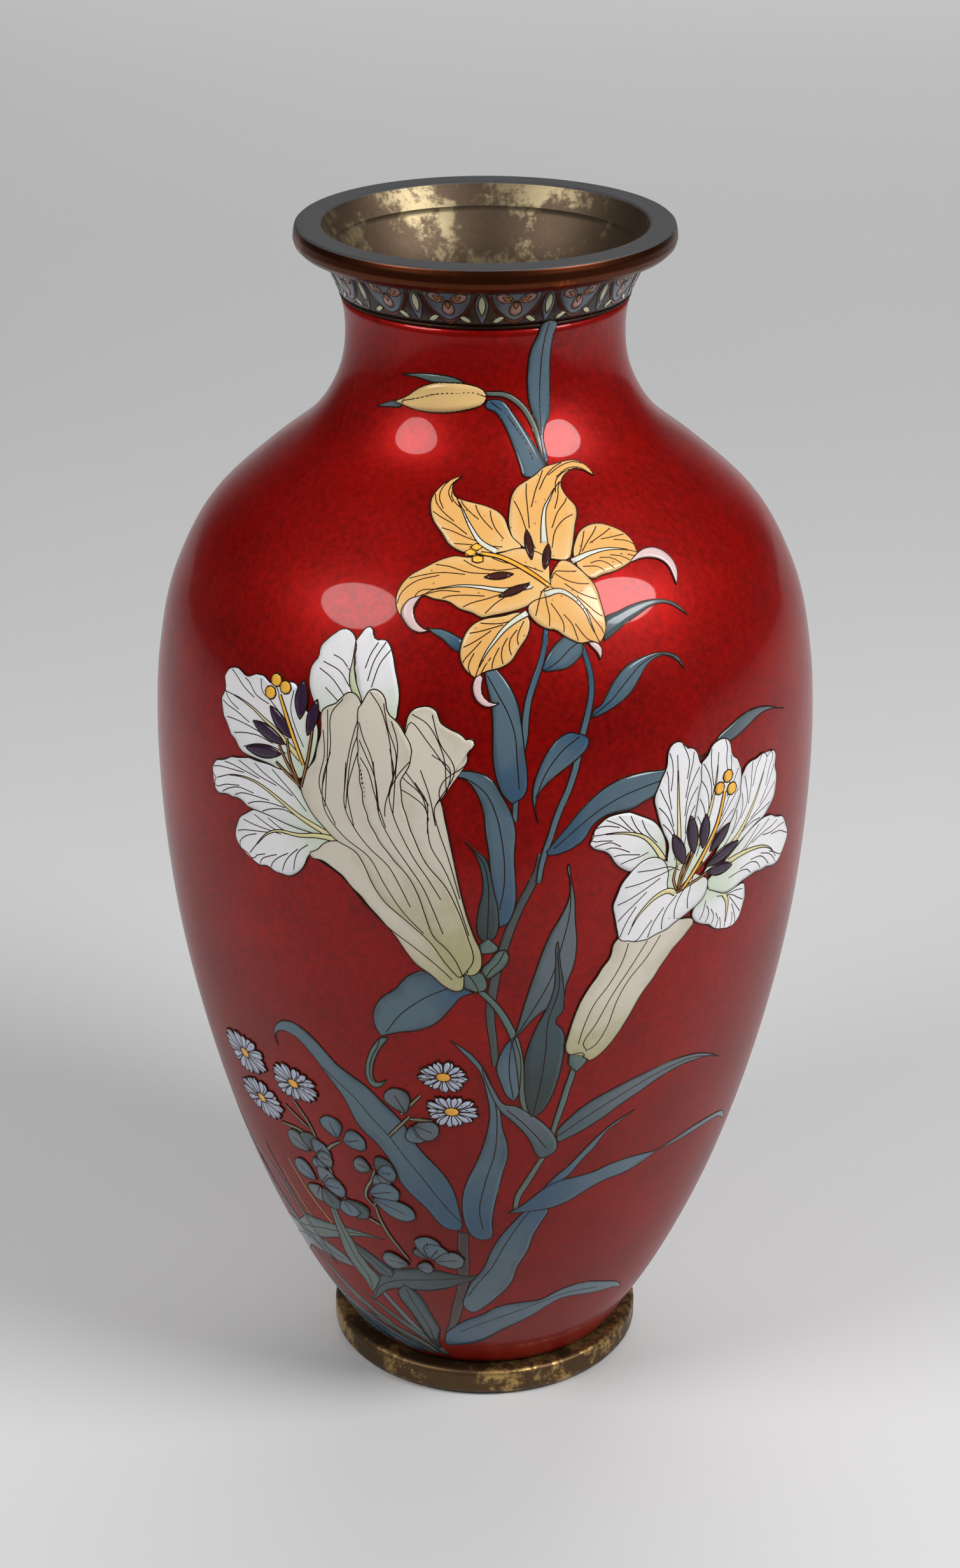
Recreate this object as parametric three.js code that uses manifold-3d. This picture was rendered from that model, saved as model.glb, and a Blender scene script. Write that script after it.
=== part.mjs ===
// A cloisonne enamel vase with lilies and daisies on a red ground. Millimetres, +Z up.
// The origin is at the middle of the foot, on the surface that the vase stands on, and the picture faces -Y.
//
// A thin raised copper body carries a coat of enamel. Its picture is made of cells, each a piece of coloured
// glass in a shallow pocket of the red ground, with a wire's width left round it. A metal ring closes the
// mouth, another is the foot, and the underside has its own coat of plain enamel.
import * as THREE from "three";
import { mergeVertices } from "three/addons/utils/BufferGeometryUtils.js";
import Module from "manifold-3d";

const wasm = await Module();
wasm.setup();

// Driving dimensions.
const BODY_HEIGHT = 237.7; // from the foot's seat to the rim's seat
const BASE_RADIUS = 30.3;
const BELLY_RADIUS = 68.05;
const NECK_RADIUS = 28.2;
const LIP_RADIUS = 32.85;
const COPPER_GAUGE = 1.4;
const ENAMEL_COAT = 1.5;
const CELL_DEPTH = 0.7;
const CLEARANCE = 0.3; // between pieces that touch, and the width of a cell's wire
const FOOT_HEIGHT = 6.2;
const FOOT_RADIUS = 33.4;
const FOOT_BORE = 27;
const FOOT_ROUNDING = 2.2;
const RIM_HEIGHT = 5.5;
const RIM_OVERHANG = 4.85; // how far the rim swells past the lip
const RIM_FLARE = 2.35; // how much wider the mouth is at the top than at the lip
const RIM_ROUNDING = 0.8;
const BORDER_HEIGHT = 7.4;
const BORDER_WIRE = 0.6;
const UNDERCOAT = 1.2;
const SIDES = 36;
const DEGREE = Math.PI / 180;

const BODY_FOOT = FOOT_HEIGHT + CLEARANCE;
const BODY_TOP = BODY_FOOT + BODY_HEIGHT;
const BORDER_FOOT = BODY_TOP - BORDER_HEIGHT;
const GROUND_TOP = BORDER_FOOT - BORDER_WIRE - 2 * CLEARANCE;
const RIM_FOOT = BODY_TOP + CLEARANCE;
const RIM_TOP = RIM_FOOT + RIM_HEIGHT;

// The body's outline: where each ring lies as a share of the height, and how full it is between two radii.
const BODY_CURVE = [
  [0, BASE_RADIUS, BELLY_RADIUS, 0],
  [0.065, BASE_RADIUS, BELLY_RADIUS, 0.241],
  [0.158, BASE_RADIUS, BELLY_RADIUS, 0.506],
  [0.276, BASE_RADIUS, BELLY_RADIUS, 0.744],
  [0.41, BASE_RADIUS, BELLY_RADIUS, 0.923],
  [0.545, BASE_RADIUS, BELLY_RADIUS, 1],
  [0.654, NECK_RADIUS, BELLY_RADIUS, 0.979],
  [0.73, NECK_RADIUS, BELLY_RADIUS, 0.872],
  [0.785, NECK_RADIUS, BELLY_RADIUS, 0.684],
  [0.827, NECK_RADIUS, BELLY_RADIUS, 0.413],
  [0.86, NECK_RADIUS, BELLY_RADIUS, 0.173],
  [0.894, NECK_RADIUS, BELLY_RADIUS, 0.045],
  [0.932, NECK_RADIUS, LIP_RADIUS, 0],
  [0.97, NECK_RADIUS, LIP_RADIUS, 0.258],
  [1, NECK_RADIUS, LIP_RADIUS, 1],
];
const KNOTS = BODY_CURVE.map(([share, thin, full, part]) => ({
  z: BODY_FOOT + share * BODY_HEIGHT,
  r: thin + (full - thin) * part,
}));

function slopeAt(i) {
  const here = KNOTS[i];
  const below = KNOTS[Math.max(i - 1, 0)];
  const above = KNOTS[Math.min(i + 1, KNOTS.length - 1)];
  return (above.r - below.r) / (above.z - below.z || here.z);
}

// The enamel's outer radius at a height: a smooth curve through the knots.
function outerRadius(z) {
  let i = 0;
  while (i < KNOTS.length - 2 && z > KNOTS[i + 1].z) i += 1;
  const [low, high] = [KNOTS[i], KNOTS[i + 1]];
  const span = high.z - low.z;
  const t = (z - low.z) / span;
  const rise = t * t * (3 - 2 * t);
  const leave = t * (1 - t) * (1 - t) * span * slopeAt(i);
  const arrive = t * t * (t - 1) * span * slopeAt(i + 1);
  return low.r + (high.r - low.r) * rise + leave + arrive;
}

// Heights of the facet rows that every layer of the wall shares: each knot, halfway along the long stretches
// of the belly, and the edges of the border, so that no layer's facets cut across another's.
const LONG_STRETCH = 20;
const LEVELS = KNOTS.flatMap((knot, i) => {
  const next = KNOTS[i + 1];
  const halfway = next && next.z - knot.z > LONG_STRETCH;
  return halfway ? [knot.z, (knot.z + next.z) / 2] : [knot.z];
});
LEVELS.push(GROUND_TOP, GROUND_TOP + CLEARANCE, BORDER_FOOT - CLEARANCE, BORDER_FOOT);
LEVELS.sort((a, b) => a - b);
const SAME_LEVEL = 0.01;

function rows(from, to) {
  const between = LEVELS.filter((z) => z > from + SAME_LEVEL && z < to - SAME_LEVEL);
  return [from, ...between, to];
}

// The height at each distance up the wall from the foot, measured along the enamel's surface.
const WALL_STEPS = 400;
const WALL = [{ s: 0, z: BODY_FOOT }];
for (let i = 1; i <= WALL_STEPS; i += 1) {
  const last = WALL[i - 1];
  const z = BODY_FOOT + (BODY_HEIGHT * i) / WALL_STEPS;
  const step = Math.hypot(z - last.z, outerRadius(z) - outerRadius(last.z));
  WALL.push({ s: last.s + step, z });
}
const DRAWN_WALL = 259.25; // the wall's length that the picture below is drawn for
const WALL_STRETCH = WALL[WALL_STEPS].s / DRAWN_WALL;

function heightAt(s) {
  const along = s * WALL_STRETCH;
  const i = Math.max(1, WALL.findIndex((step) => step.s >= along));
  const [low, high] = [WALL[i - 1], WALL[i]];
  return low.z + ((high.z - low.z) * (along - low.s)) / (high.s - low.s);
}

function shift(point, r, z) {
  return new THREE.Vector2(point.x + r, point.y + z);
}

// Points on a quarter of an ellipse, from one angle to another in degrees.
function arc(r, z, radiusR, radiusZ, from, to, steps = 4) {
  const curve = new THREE.EllipseCurve(0, 0, radiusR, radiusZ, from * DEGREE, to * DEGREE, to < from);
  return curve.getPoints(steps).map((point) => shift(point, r, z));
}

// A body of revolution about Z. The profile runs up the outside and down the inside.
function turned(profile) {
  const points = profile.map((point) => (point.isVector2 ? point : new THREE.Vector2(...point)));
  return new THREE.LatheGeometry(points, SIDES).rotateX(Math.PI / 2);
}

// A ring of wall between two heights, between two depths below the enamel's surface.
function wallRing(from, to, outerDepth, innerDepth) {
  const heights = rows(from, to);
  const outside = heights.map((z) => [outerRadius(z) - outerDepth, z]);
  const inside = heights.toReversed().map((z) => [outerRadius(z) - innerDepth, z]);
  return turned([...outside, ...inside, outside[0]]);
}

function solid(geometry) {
  const bare = geometry.clone();
  bare.deleteAttribute("normal");
  bare.deleteAttribute("uv");
  const merged = mergeVertices(bare, 1e-4);
  const { array } = merged.index;
  const faces = [];
  for (let i = 0; i < array.length; i += 3) {
    const [a, b, c] = [array[i], array[i + 1], array[i + 2]];
    if (a !== b && b !== c && c !== a) faces.push(a, b, c);
  }
  const vertProperties = new Float32Array(merged.attributes.position.array);
  const triVerts = new Uint32Array(faces);
  return new wasm.Manifold(new wasm.Mesh({ numProp: 3, vertProperties, triVerts }));
}

function geometryOf(body) {
  const { vertProperties, triVerts } = body.getMesh();
  const geometry = new THREE.BufferGeometry();
  geometry.setAttribute("position", new THREE.BufferAttribute(new Float32Array(vertProperties), 3));
  geometry.setIndex(new THREE.BufferAttribute(new Uint32Array(triVerts), 1));
  geometry.computeVertexNormals();
  return geometry;
}

// The biggest piece left where the cells in front cut one in two.
function biggest(body) {
  const pieces = body.decompose();
  return pieces.reduce((best, piece) => (piece.volume() > best.volume() ? piece : best));
}

const vase = new THREE.Group();

function add(name, geometry, finish) {
  const material = new THREE.MeshStandardMaterial(finish);
  const mesh = new THREE.Mesh(geometry, material);
  mesh.name = name;
  vase.add(mesh);
}

const COPPER = { color: 0x4a2c18, roughness: 0.5, metalness: 0.9 };
const RIM_BRONZE = { color: 0x5a2f14, roughness: 0.3, metalness: 0.9 };
const FOOT_BRASS = { color: 0x6b4a22, roughness: 0.4, metalness: 0.9 };
const WIRE = { color: 0x5a4028, roughness: 0.4, metalness: 0.9 };
const UNDER_BLUE = { color: 0x26383f, roughness: 0.35, metalness: 0 };
const BORDER_BROWN = { color: 0x33231f, roughness: 0.2, metalness: 0 };
const RED = { color: 0x82140f, roughness: 0.15, metalness: 0 };
const WHITE = { color: 0xe0dcdc, roughness: 0.2, metalness: 0 };
const CREAM = { color: 0xc8bfa8, roughness: 0.2, metalness: 0 };
const YELLOW = { color: 0xebb45f, roughness: 0.2, metalness: 0 };
const SLATE = { color: 0x55788c, roughness: 0.2, metalness: 0 };
const GREY = { color: 0x7d8487, roughness: 0.2, metalness: 0 };
const DARK_GREEN = { color: 0x374b4b, roughness: 0.2, metalness: 0 };
const STEM = { color: 0x6e7d69, roughness: 0.2, metalness: 0 };
const LAVENDER = { color: 0xbebecd, roughness: 0.2, metalness: 0 };

// The raised copper body, with its floor.
{
  const depth = ENAMEL_COAT + CLEARANCE;
  const heights = rows(BODY_FOOT, BODY_TOP);
  const outside = heights.map((z) => [outerRadius(z) - depth, z]);
  const floor = BODY_FOOT + COPPER_GAUGE;
  const within = rows(floor, BODY_TOP).toReversed();
  const inside = within.map((z) => [outerRadius(z) - depth - COPPER_GAUGE, z]);
  add("copper_body", turned([[0, BODY_FOOT], ...outside, ...inside, [0, floor]]), COPPER);
}

// The foot ring, rounded outside, with a small chamfer round its bore.
{
  const chamfer = FOOT_ROUNDING / 4;
  const lower = arc(FOOT_RADIUS - FOOT_ROUNDING, FOOT_ROUNDING, FOOT_ROUNDING, FOOT_ROUNDING, -90, 0);
  const shoulder = FOOT_ROUNDING / 2;
  const upper = arc(FOOT_RADIUS - shoulder, FOOT_HEIGHT - shoulder, shoulder, shoulder, 0, 90, 3);
  const bore = [[FOOT_BORE, FOOT_HEIGHT], [FOOT_BORE, chamfer], [FOOT_BORE + chamfer, 0]];
  add("foot_ring", turned([...lower, ...upper, ...bore, lower[0]]), FOOT_BRASS);
}

// Plain enamel under the floor, inside the foot ring.
{
  const edge = FOOT_BORE - CLEARANCE;
  const bottom = FOOT_HEIGHT - UNDERCOAT;
  const profile = [[0, bottom], [edge - UNDERCOAT / 2, bottom], [edge, bottom + UNDERCOAT / 2]];
  add("underside_enamel", turned([...profile, [edge, FOOT_HEIGHT], [0, FOOT_HEIGHT]]), UNDER_BLUE);
}

// The ring that closes the mouth: a swelling outer face, a flat top, and a bore that carries on the neck.
{
  const seat = outerRadius(BODY_TOP);
  const bore = seat - ENAMEL_COAT - CLEARANCE - COPPER_GAUGE;
  const mouth = bore + RIM_FLARE;
  const waist = RIM_FOOT + RIM_HEIGHT / 2;
  const swell = arc(seat + RIM_ROUNDING, waist, RIM_OVERHANG - RIM_ROUNDING, RIM_HEIGHT / 2, -90, 0);
  const edge = seat + RIM_OVERHANG - RIM_ROUNDING;
  const crown = arc(edge, waist, RIM_ROUNDING, RIM_HEIGHT / 2, 0, 90, 3);
  const inner = arc(mouth + RIM_ROUNDING, RIM_TOP - RIM_ROUNDING, RIM_ROUNDING, RIM_ROUNDING, 90, 180, 3);
  const profile = [...swell, ...crown.slice(1), ...inner, [bore, RIM_FOOT]];
  add("mouth_rim", turned([...profile, swell[0]]), RIM_BRONZE);
}

add("neck_border", wallRing(BORDER_FOOT, BODY_TOP, 0, ENAMEL_COAT), BORDER_BROWN);
add(
  "border_wire",
  wallRing(GROUND_TOP + CLEARANCE, BORDER_FOOT - CLEARANCE, 0, ENAMEL_COAT),
  WIRE,
);

// The picture. Each outline is [degrees round the vase to the viewer's right, distance up the wall],
// from the cells behind to the cells in front: a cell is cut by every one after it that it touches.
const CELLS = [];

function cell(name, finish, ...outline) {
  CELLS.push({ name, finish, outline });
}

// Stems and the leaves low on the body.
cell("stem_lower", STEM, [-6.1, 52], [-6.7, 31], [-9.2, 22], [-14, 12.5], [-11.5, 11.5], [-6.6, 22],
  [-4.5, 32], [-4.1, 52]);
cell("stem_upper", STEM, [8.2, 145], [5.6, 136.5], [2.4, 126], [0.3, 116], [0, 106], [1.7, 106], [1.9, 116],
  [4, 126], [7.3, 136.5], [10, 145]);
cell("grass_blade", GREY, [-84, 22], [-72, 31.5], [-60, 36], [-48, 36.2], [-40, 34], [-42, 30.3], [-52, 30],
  [-62, 26], [-74, 19.8], [-84, 16]);
cell("leaf_low_left", DARK_GREEN, [-36, 20.5], [-32, 28.5], [-22, 35.8], [-12, 37.2], [-2, 36.5], [-6, 33.5],
  [-19, 28.7], [-33, 22.5]);
cell("leaf_low_right", SLATE, [-13, 12.5], [-5, 19.5], [4, 24.8], [16, 26], [25, 29.2], [35, 27],
  [46.3, 20.2], [37, 22.7], [26, 24.7], [19, 23.5], [10, 17.5], [0, 10.8], [-14, 7]);
cell("leaf_low_bent", SLATE, [8.5, 57], [3.5, 49.5], [0, 40], [-5, 30], [-6, 25], [-2.5, 23], [5, 30.5],
  [9, 41.5], [11, 49], [13.8, 57]);
cell("leaf_long_right", SLATE, [5, 56.8], [12.5, 63.5], [23, 66], [34, 67.3], [48, 68.5], [58, 67.5],
  [64.5, 62.8], [54, 66.3], [38, 66], [26, 62.8], [18, 58.5], [10, 57]);
cell("leaf_mid_right", GREY, [14, 79.5], [20, 86], [28, 89.5], [40, 91], [51, 86.3], [39.5, 88.7], [31, 86],
  [23, 81], [14.2, 76.3]);
cell("leaf_upright", SLATE, [-6, 103.5], [-1, 96], [0.8, 86], [-0.5, 76], [-4.8, 61], [-4, 52], [-2.5, 49.3],
  [1, 49], [1.5, 54], [3.6, 69], [4.2, 77], [2.7, 86], [0, 96]);
cell("leaf_hooked", GREY, [0.8, 92], [3.5, 87.5], [8, 85], [12.5, 79.8], [14, 75], [11, 72.3], [9, 76.5],
  [5, 83], [2, 87.5]);
cell("leaf_arching", SLATE, [-41.5, 93], [-41.3, 98], [-37, 100.8], [-30, 95.7], [-22.5, 89.3], [-15.8, 81],
  [-9.8, 70], [-5.8, 59], [-5.2, 53.5], [-8.5, 51.7], [-15, 60], [-20, 71], [-26, 80], [-30, 89], [-36, 97],
  [-40, 96.5]);
cell("leaf_small_left", SLATE, [-10, 119.5], [-15.5, 114.5], [-19.5, 108.5], [-18.5, 103], [-11.5, 105.5],
  [-6, 111], [-2, 115], [-6.5, 116.5]);
cell("leaf_slim_back", GREY, [13.3, 142], [12.2, 131], [8.5, 120], [5, 104], [9, 109], [12.4, 120],
  [13.4, 113], [15.2, 125], [14.6, 135]);
cell("leaf_slim_front", DARK_GREEN, [11.7, 125.3], [11.5, 115], [7.8, 103], [7.2, 90], [8.7, 85], [12, 88],
  [14, 98], [12.4, 108], [13.2, 116]);

// The leaves between the lilies and on the neck.
cell("leaf_drooping", SLATE, [-6.5, 161.3], [-1, 161.8], [2.5, 157.5], [4.8, 150], [4.8, 140], [4.5, 133],
  [2.5, 130], [1.3, 138], [0, 150], [-2, 158.5]);
cell("leaf_under_white", SLATE, [10.2, 145.5], [16, 154], [23, 158.7], [30.5, 158.4], [28.5, 153.8],
  [24, 152], [17.5, 150], [16, 147.3], [12.5, 145.2]);
cell("leaf_under_white_tip", GREY, [42, 162.3], [48, 164.4], [56, 163.4], [61, 160.8], [53, 162.2],
  [46, 160.5]);
cell("leaf_centre", DARK_GREEN, [0, 181.3], [1.2, 168], [2.8, 157.5], [5.8, 156.7], [6.3, 166], [5.3, 175],
  [3, 180]);
cell("leaf_folded", SLATE, [16, 168.8], [17.1, 167.3], [12, 161.3], [8.6, 157.5], [8.3, 151.8], [7.6, 157],
  [10, 165.3], [13.8, 168.9]);
cell("leaf_under_yellow", SLATE, [17.8, 171.8], [20.8, 175.5], [25, 180.2], [31, 181.5], [36.2, 177.5],
  [31.5, 180], [27, 177.5], [22.5, 173.2]);
cell("leaf_beside_yellow", GREY, [22.4, 189.8], [28, 191.3], [35.5, 191], [39.8, 187.2], [36, 189.6],
  [29, 189], [21.5, 185.7]);
cell("leaf_below_bud", SLATE, [0.5, 236.2], [7, 236], [13, 231.5], [18.5, 225], [19, 223], [11.5, 221.3],
  [9.5, 227.5], [4, 234]);
cell("leaf_neck", SLATE, [22, 251], [16.8, 241.5], [17.3, 234.5], [19.5, 228], [20.4, 228], [24, 232.5],
  [26.3, 244], [28, 251]);
cell("lily_bud", WHITE, [-37, 234.5], [-27, 237.7], [-14, 239.4], [-2, 238.6], [0.3, 237], [-5, 234.8],
  [-20, 233.6], [-30, 233.8]);

// The yellow lily.
cell("yellow_petal_top", YELLOW, [8.1, 205.9], [5.6, 211], [7.5, 217.6], [15.3, 221.5], [22.3, 223.3],
  [29.4, 223.4], [33.3, 219.8], [28.5, 221.4], [23.2, 220.2], [22, 216.8], [23.7, 213.6], [20.5, 206.9],
  [17.8, 202.3], [13, 203.5]);
cell("yellow_petal_upper_left", YELLOW, [-8.3, 221], [-12.5, 219.3], [-14.6, 216.3], [-12.8, 211.1],
  [-8.2, 206.2], [-3.5, 204.4], [2.5, 204.5], [8.1, 205.6], [6.2, 207.9], [4.8, 211.9], [0.4, 214.8],
  [-5.4, 216], [-9, 218]);
cell("yellow_petal_left", YELLOW, [-3.7, 203.6], [-9.5, 202.9], [-15.5, 199], [-17.3, 194.3], [-14.9, 189.9],
  [-10.3, 188.6], [-13, 190.5], [-12.2, 195.3], [-4.9, 193], [0.8, 191.7], [8, 193.5], [12.5, 196.6],
  [13, 203], [8.1, 205.2], [2.5, 204.3]);
cell("yellow_petal_bottom", YELLOW, [7.7, 192.1], [7.5, 187.8], [4.4, 183.1], [0.4, 181.4], [-1.8, 180],
  [-4.45, 183.8], [-3.5, 188.6], [0, 191.2], [5.8, 192.3]);
cell("yellow_petal_right", YELLOW, [19.2, 203.5], [22.3, 207.9], [27.7, 209], [32.7, 206.4], [34, 202],
  [38.5, 201.5], [41.4, 197.7], [39.5, 193.2], [39.3, 197.2], [36.4, 199.5], [31.2, 199.5], [24, 198.2],
  [21.7, 197.7], [19.6, 200]);
cell("yellow_petal_front", YELLOW, [12.8, 197], [15.3, 201.7], [17.8, 201.8], [20.7, 198.5], [22.1, 193.3],
  [22.1, 187.8], [20.3, 185.1], [14.1, 187.3], [8.9, 190.5], [7.9, 192.3], [9.5, 194.5]);

// The white lily on the left.
cell("left_lily_petal_back", WHITE, [-27.9, 170.2], [-31.2, 177.7], [-29.9, 182.9], [-26.4, 186.8],
  [-23.5, 185.2], [-21, 188.3], [-17.3, 185.7], [-15.1, 179], [-14.8, 171.2], [-21, 172]);
cell("left_lily_petal_upper", WHITE, [-50.2, 171.5], [-48.5, 174.2], [-44.5, 173.7], [-40.5, 174.9],
  [-34.5, 175.1], [-32, 171], [-28.2, 170], [-28.4, 164.5], [-31.2, 156.7], [-37, 157.7], [-45, 158.8],
  [-50, 165]);
cell("left_lily_petal_middle", WHITE, [-31.2, 156], [-36, 157.3], [-43.5, 157.3], [-51, 154], [-52.1, 151.5],
  [-51.2, 148], [-44.5, 148], [-41, 147], [-33, 145.8], [-24.5, 145.8], [-30, 151.5]);
cell("left_lily_petal_lower", WHITE, [-41, 147.3], [-45, 144], [-45.8, 139], [-42, 136], [-34.5, 135.2],
  [-31, 138.5], [-28.5, 142.5], [-24.5, 145.6], [-33, 145.6]);
cell("left_lily_petal_curled", WHITE, [-12.2, 165.5], [-13, 171], [-10.2, 174.3], [-7.5, 171.5], [-4, 169.2],
  [-2, 167.5], [-3, 164.3], [-7, 160], [-7.5, 155], [-8.5, 150], [-12.7, 156]);
cell("left_lily_trumpet", CREAM, [-28, 171], [-23.5, 175.1], [-21, 173.4], [-18.3, 176.5], [-14.8, 170.7],
  [-12.2, 165.3], [-12.7, 156], [-8.5, 150], [-5.6, 147], [-4, 137], [-1.8, 127.5], [-0.7, 121],
  [-3.8, 115.8], [-9, 118.8], [-15, 127], [-23, 137.5], [-29.8, 141.2], [-24.5, 145.5], [-30, 151.5],
  [-31.2, 156.5], [-28.2, 164.5]);

// The white lily on the right.
cell("right_lily_petal_1", WHITE, [31, 139], [31.2, 142.9], [28.6, 152.5], [30.7, 158.3], [33, 163.6],
  [36.2, 161.5], [37.9, 157.6], [37, 151], [35.5, 140], [33.4, 132.5], [31.5, 134]);
cell("right_lily_petal_2", WHITE, [37.9, 157.6], [42, 161.4], [45, 156.9], [47, 151.5], [44.9, 143.8],
  [37.5, 134.5], [34, 132.5], [36, 141], [37.3, 151]);
cell("right_lily_petal_3", WHITE, [46.9, 148.7], [49.8, 154], [57, 153.8], [57.7, 146.4], [54.2, 141],
  [49.4, 139.2], [40, 133], [38.2, 133.8], [44.9, 143.8]);
cell("right_lily_petal_4", WHITE, [49.4, 139.2], [56.2, 140.1], [62, 136.1], [63.4, 131.9], [59.9, 127.8],
  [52.3, 129.2], [46.1, 128], [40.2, 130.4], [40.2, 132.8]);
cell("right_lily_petal_5", WHITE, [36.8, 126.3], [40.2, 122.4], [45.1, 119.7], [49.2, 121], [49.4, 128.2],
  [44, 128.5], [40, 130.7]);
cell("right_lily_petal_6", WHITE, [30.7, 140.3], [29.9, 145.9], [26.4, 150.1], [19.8, 151.2], [16.7, 146.2],
  [20.6, 142.7], [24.3, 139], [27, 141]);
cell("right_lily_trumpet", CREAM, [22.2, 124.5], [20, 118.5], [16.5, 112], [14.5, 104], [14.8, 99.2],
  [18.5, 97], [21.5, 99], [25.5, 106], [30, 114.5], [34.5, 121], [37.2, 125.3], [34.8, 126], [27.8, 123.2]);
cell("right_lily_petal_7", WHITE, [31.3, 133.8], [30.5, 139.6], [27, 141], [23.3, 137.8], [21.2, 132.4],
  [22.3, 124.7], [27.8, 123.2], [34.8, 126.1], [38.9, 128.7], [39.8, 132.6], [37.1, 133.6], [33.4, 131.8]);

// The daisies: each a scalloped round, wider than tall, with one scallop for every second petal.
const DAISIES = [
  [-53, 86, 7, 5.2],
  [-39.3, 84.4, 6, 4.8],
  [-51, 75.3, 7.3, 4.9],
  [-7.5, 94.4, 4.8, 4.1],
  [-6.2, 85.6, 5.2, 4.3],
];
const DAISY_SIDES = 11;
DAISIES.forEach(([across, up, halfWidth, halfHeight], i) => {
  const outline = [];
  for (let side = 0; side < DAISY_SIDES; side += 1) {
    const turn = (2 * Math.PI * side) / DAISY_SIDES;
    outline.push([across + halfWidth * Math.cos(turn), up + halfHeight * Math.sin(turn)]);
  }
  cell(`daisy_${i + 1}`, LAVENDER, ...outline);
});

// Millimetres per degree round the wall at a distance up it.
function degreeLength(s) {
  return outerRadius(heightAt(s)) * DEGREE;
}

const SHARPEST_MITRE = 2;

// An outline widened by a margin all round, with its points moved along the mitres.
function widened(outline, margin) {
  const points = outline.map(([across, up]) => new THREE.Vector2(across, up));
  if (THREE.ShapeUtils.area(points) < 0) points.reverse();
  if (margin === 0) return points;
  return points.map((point, i) => {
    const before = points[(i + points.length - 1) % points.length];
    const after = points[(i + 1) % points.length];
    const wide = new THREE.Vector2(degreeLength(point.y), 1);
    const arriving = point.clone().sub(before).multiply(wide).normalize();
    const leaving = after.clone().sub(point).multiply(wide).normalize();
    const out = new THREE.Vector2(arriving.y + leaving.y, -arriving.x - leaving.x).normalize();
    const spread = out.dot(new THREE.Vector2(leaving.y, -leaving.x));
    const mitre = Math.min(1 / Math.max(spread, 0.01), SHARPEST_MITRE);
    return point.clone().add(out.multiplyScalar(margin * mitre).divide(wide));
  });
}

const CUTTER_CORE = 4;
const CUTTER_REACH = 4 * BELLY_RADIUS;
const CUTTER_MARGIN = 3;

// A cutter through the wall with a cell's outline: extruded flat, then wrapped round the body.
function cutter(outline, margin) {
  const shape = new THREE.Shape(widened(outline, margin));
  const flat = new THREE.ExtrudeGeometry(shape, { depth: 3, steps: 3, bevelEnabled: false });
  const { position } = flat.attributes;
  for (let i = 0; i < position.count; i += 1) {
    const turn = position.getX(i) * DEGREE;
    const z = heightAt(position.getY(i));
    const surface = outerRadius(z);
    const layer = Math.round(position.getZ(i));
    const radii = [CUTTER_CORE, surface - CUTTER_MARGIN, surface + CUTTER_MARGIN, CUTTER_REACH];
    position.setXYZ(i, radii[layer] * Math.sin(turn), -radii[layer] * Math.cos(turn), z);
  }
  return solid(flat);
}

// How far apart two outlines' boxes are allowed to be before one can't cut the other.
function touches(one, other) {
  const [a, b] = [one, other].map((outline) => new THREE.Box2().setFromPoints(widened(outline, CLEARANCE)));
  return a.intersectsBox(b);
}

const cellLayer = solid(wallRing(BODY_FOOT, GROUND_TOP, 0, CELL_DEPTH));
const pocketLayer = solid(wallRing(BODY_FOOT, GROUND_TOP, -CUTTER_MARGIN, CELL_DEPTH + CLEARANCE));
let ground = solid(wallRing(BODY_FOOT, GROUND_TOP, 0, ENAMEL_COAT));
CELLS.forEach(({ name, finish, outline }, i) => {
  let body = cellLayer.intersect(cutter(outline, 0));
  CELLS.slice(i + 1).forEach((front) => {
    if (touches(outline, front.outline)) body = body.subtract(cutter(front.outline, CLEARANCE));
  });
  add(name, geometryOf(biggest(body)), finish);
  ground = ground.subtract(pocketLayer.intersect(cutter(outline, CLEARANCE)));
});
add("red_ground", geometryOf(ground), RED);

export default vase;
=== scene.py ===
"""A cloisonne vase: lilies and daisies in wired enamel cells on a red ground, between two metal rings.

The body is a surface of revolution. The picture is laid out on its wall with two measures: `turn`, degrees
round the vase to the viewer's right of the front, and `up`, in millimetres along the wall from its foot.
"""
import math

import bmesh
import bpy
import numpy as np
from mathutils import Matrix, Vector


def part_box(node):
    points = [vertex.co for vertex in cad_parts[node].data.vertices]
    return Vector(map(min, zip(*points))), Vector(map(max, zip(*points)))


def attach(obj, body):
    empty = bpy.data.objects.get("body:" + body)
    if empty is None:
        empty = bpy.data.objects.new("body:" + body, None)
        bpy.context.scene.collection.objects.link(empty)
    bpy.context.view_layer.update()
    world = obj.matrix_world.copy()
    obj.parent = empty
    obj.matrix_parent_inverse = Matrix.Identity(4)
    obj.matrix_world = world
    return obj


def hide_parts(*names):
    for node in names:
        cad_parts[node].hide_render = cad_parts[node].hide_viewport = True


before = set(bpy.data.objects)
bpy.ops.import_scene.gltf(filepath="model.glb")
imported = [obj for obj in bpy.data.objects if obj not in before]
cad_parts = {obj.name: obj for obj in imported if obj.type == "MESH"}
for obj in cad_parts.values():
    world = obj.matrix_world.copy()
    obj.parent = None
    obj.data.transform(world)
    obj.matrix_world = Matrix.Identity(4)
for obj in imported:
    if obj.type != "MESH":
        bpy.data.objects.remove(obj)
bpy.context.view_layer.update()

MM = 0.001
DRAWN_WALL = 259.25  # length of wall, foot to lip, that the picture is laid out for
SETBACK = 0.45 * MM  # the ground lies this far inside the finished face, and the cells stack up to it
CELL_RISE = 0.005 * MM  # each cell lies this much proud of the one behind it
CELL_DEPTH = 0.5 * MM
WIRE_WIDTH = 0.3 * MM
GRID_STEP = 1.0  # millimetres between the points of a cell's grid
ROUND = 256  # points once round a coat


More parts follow.
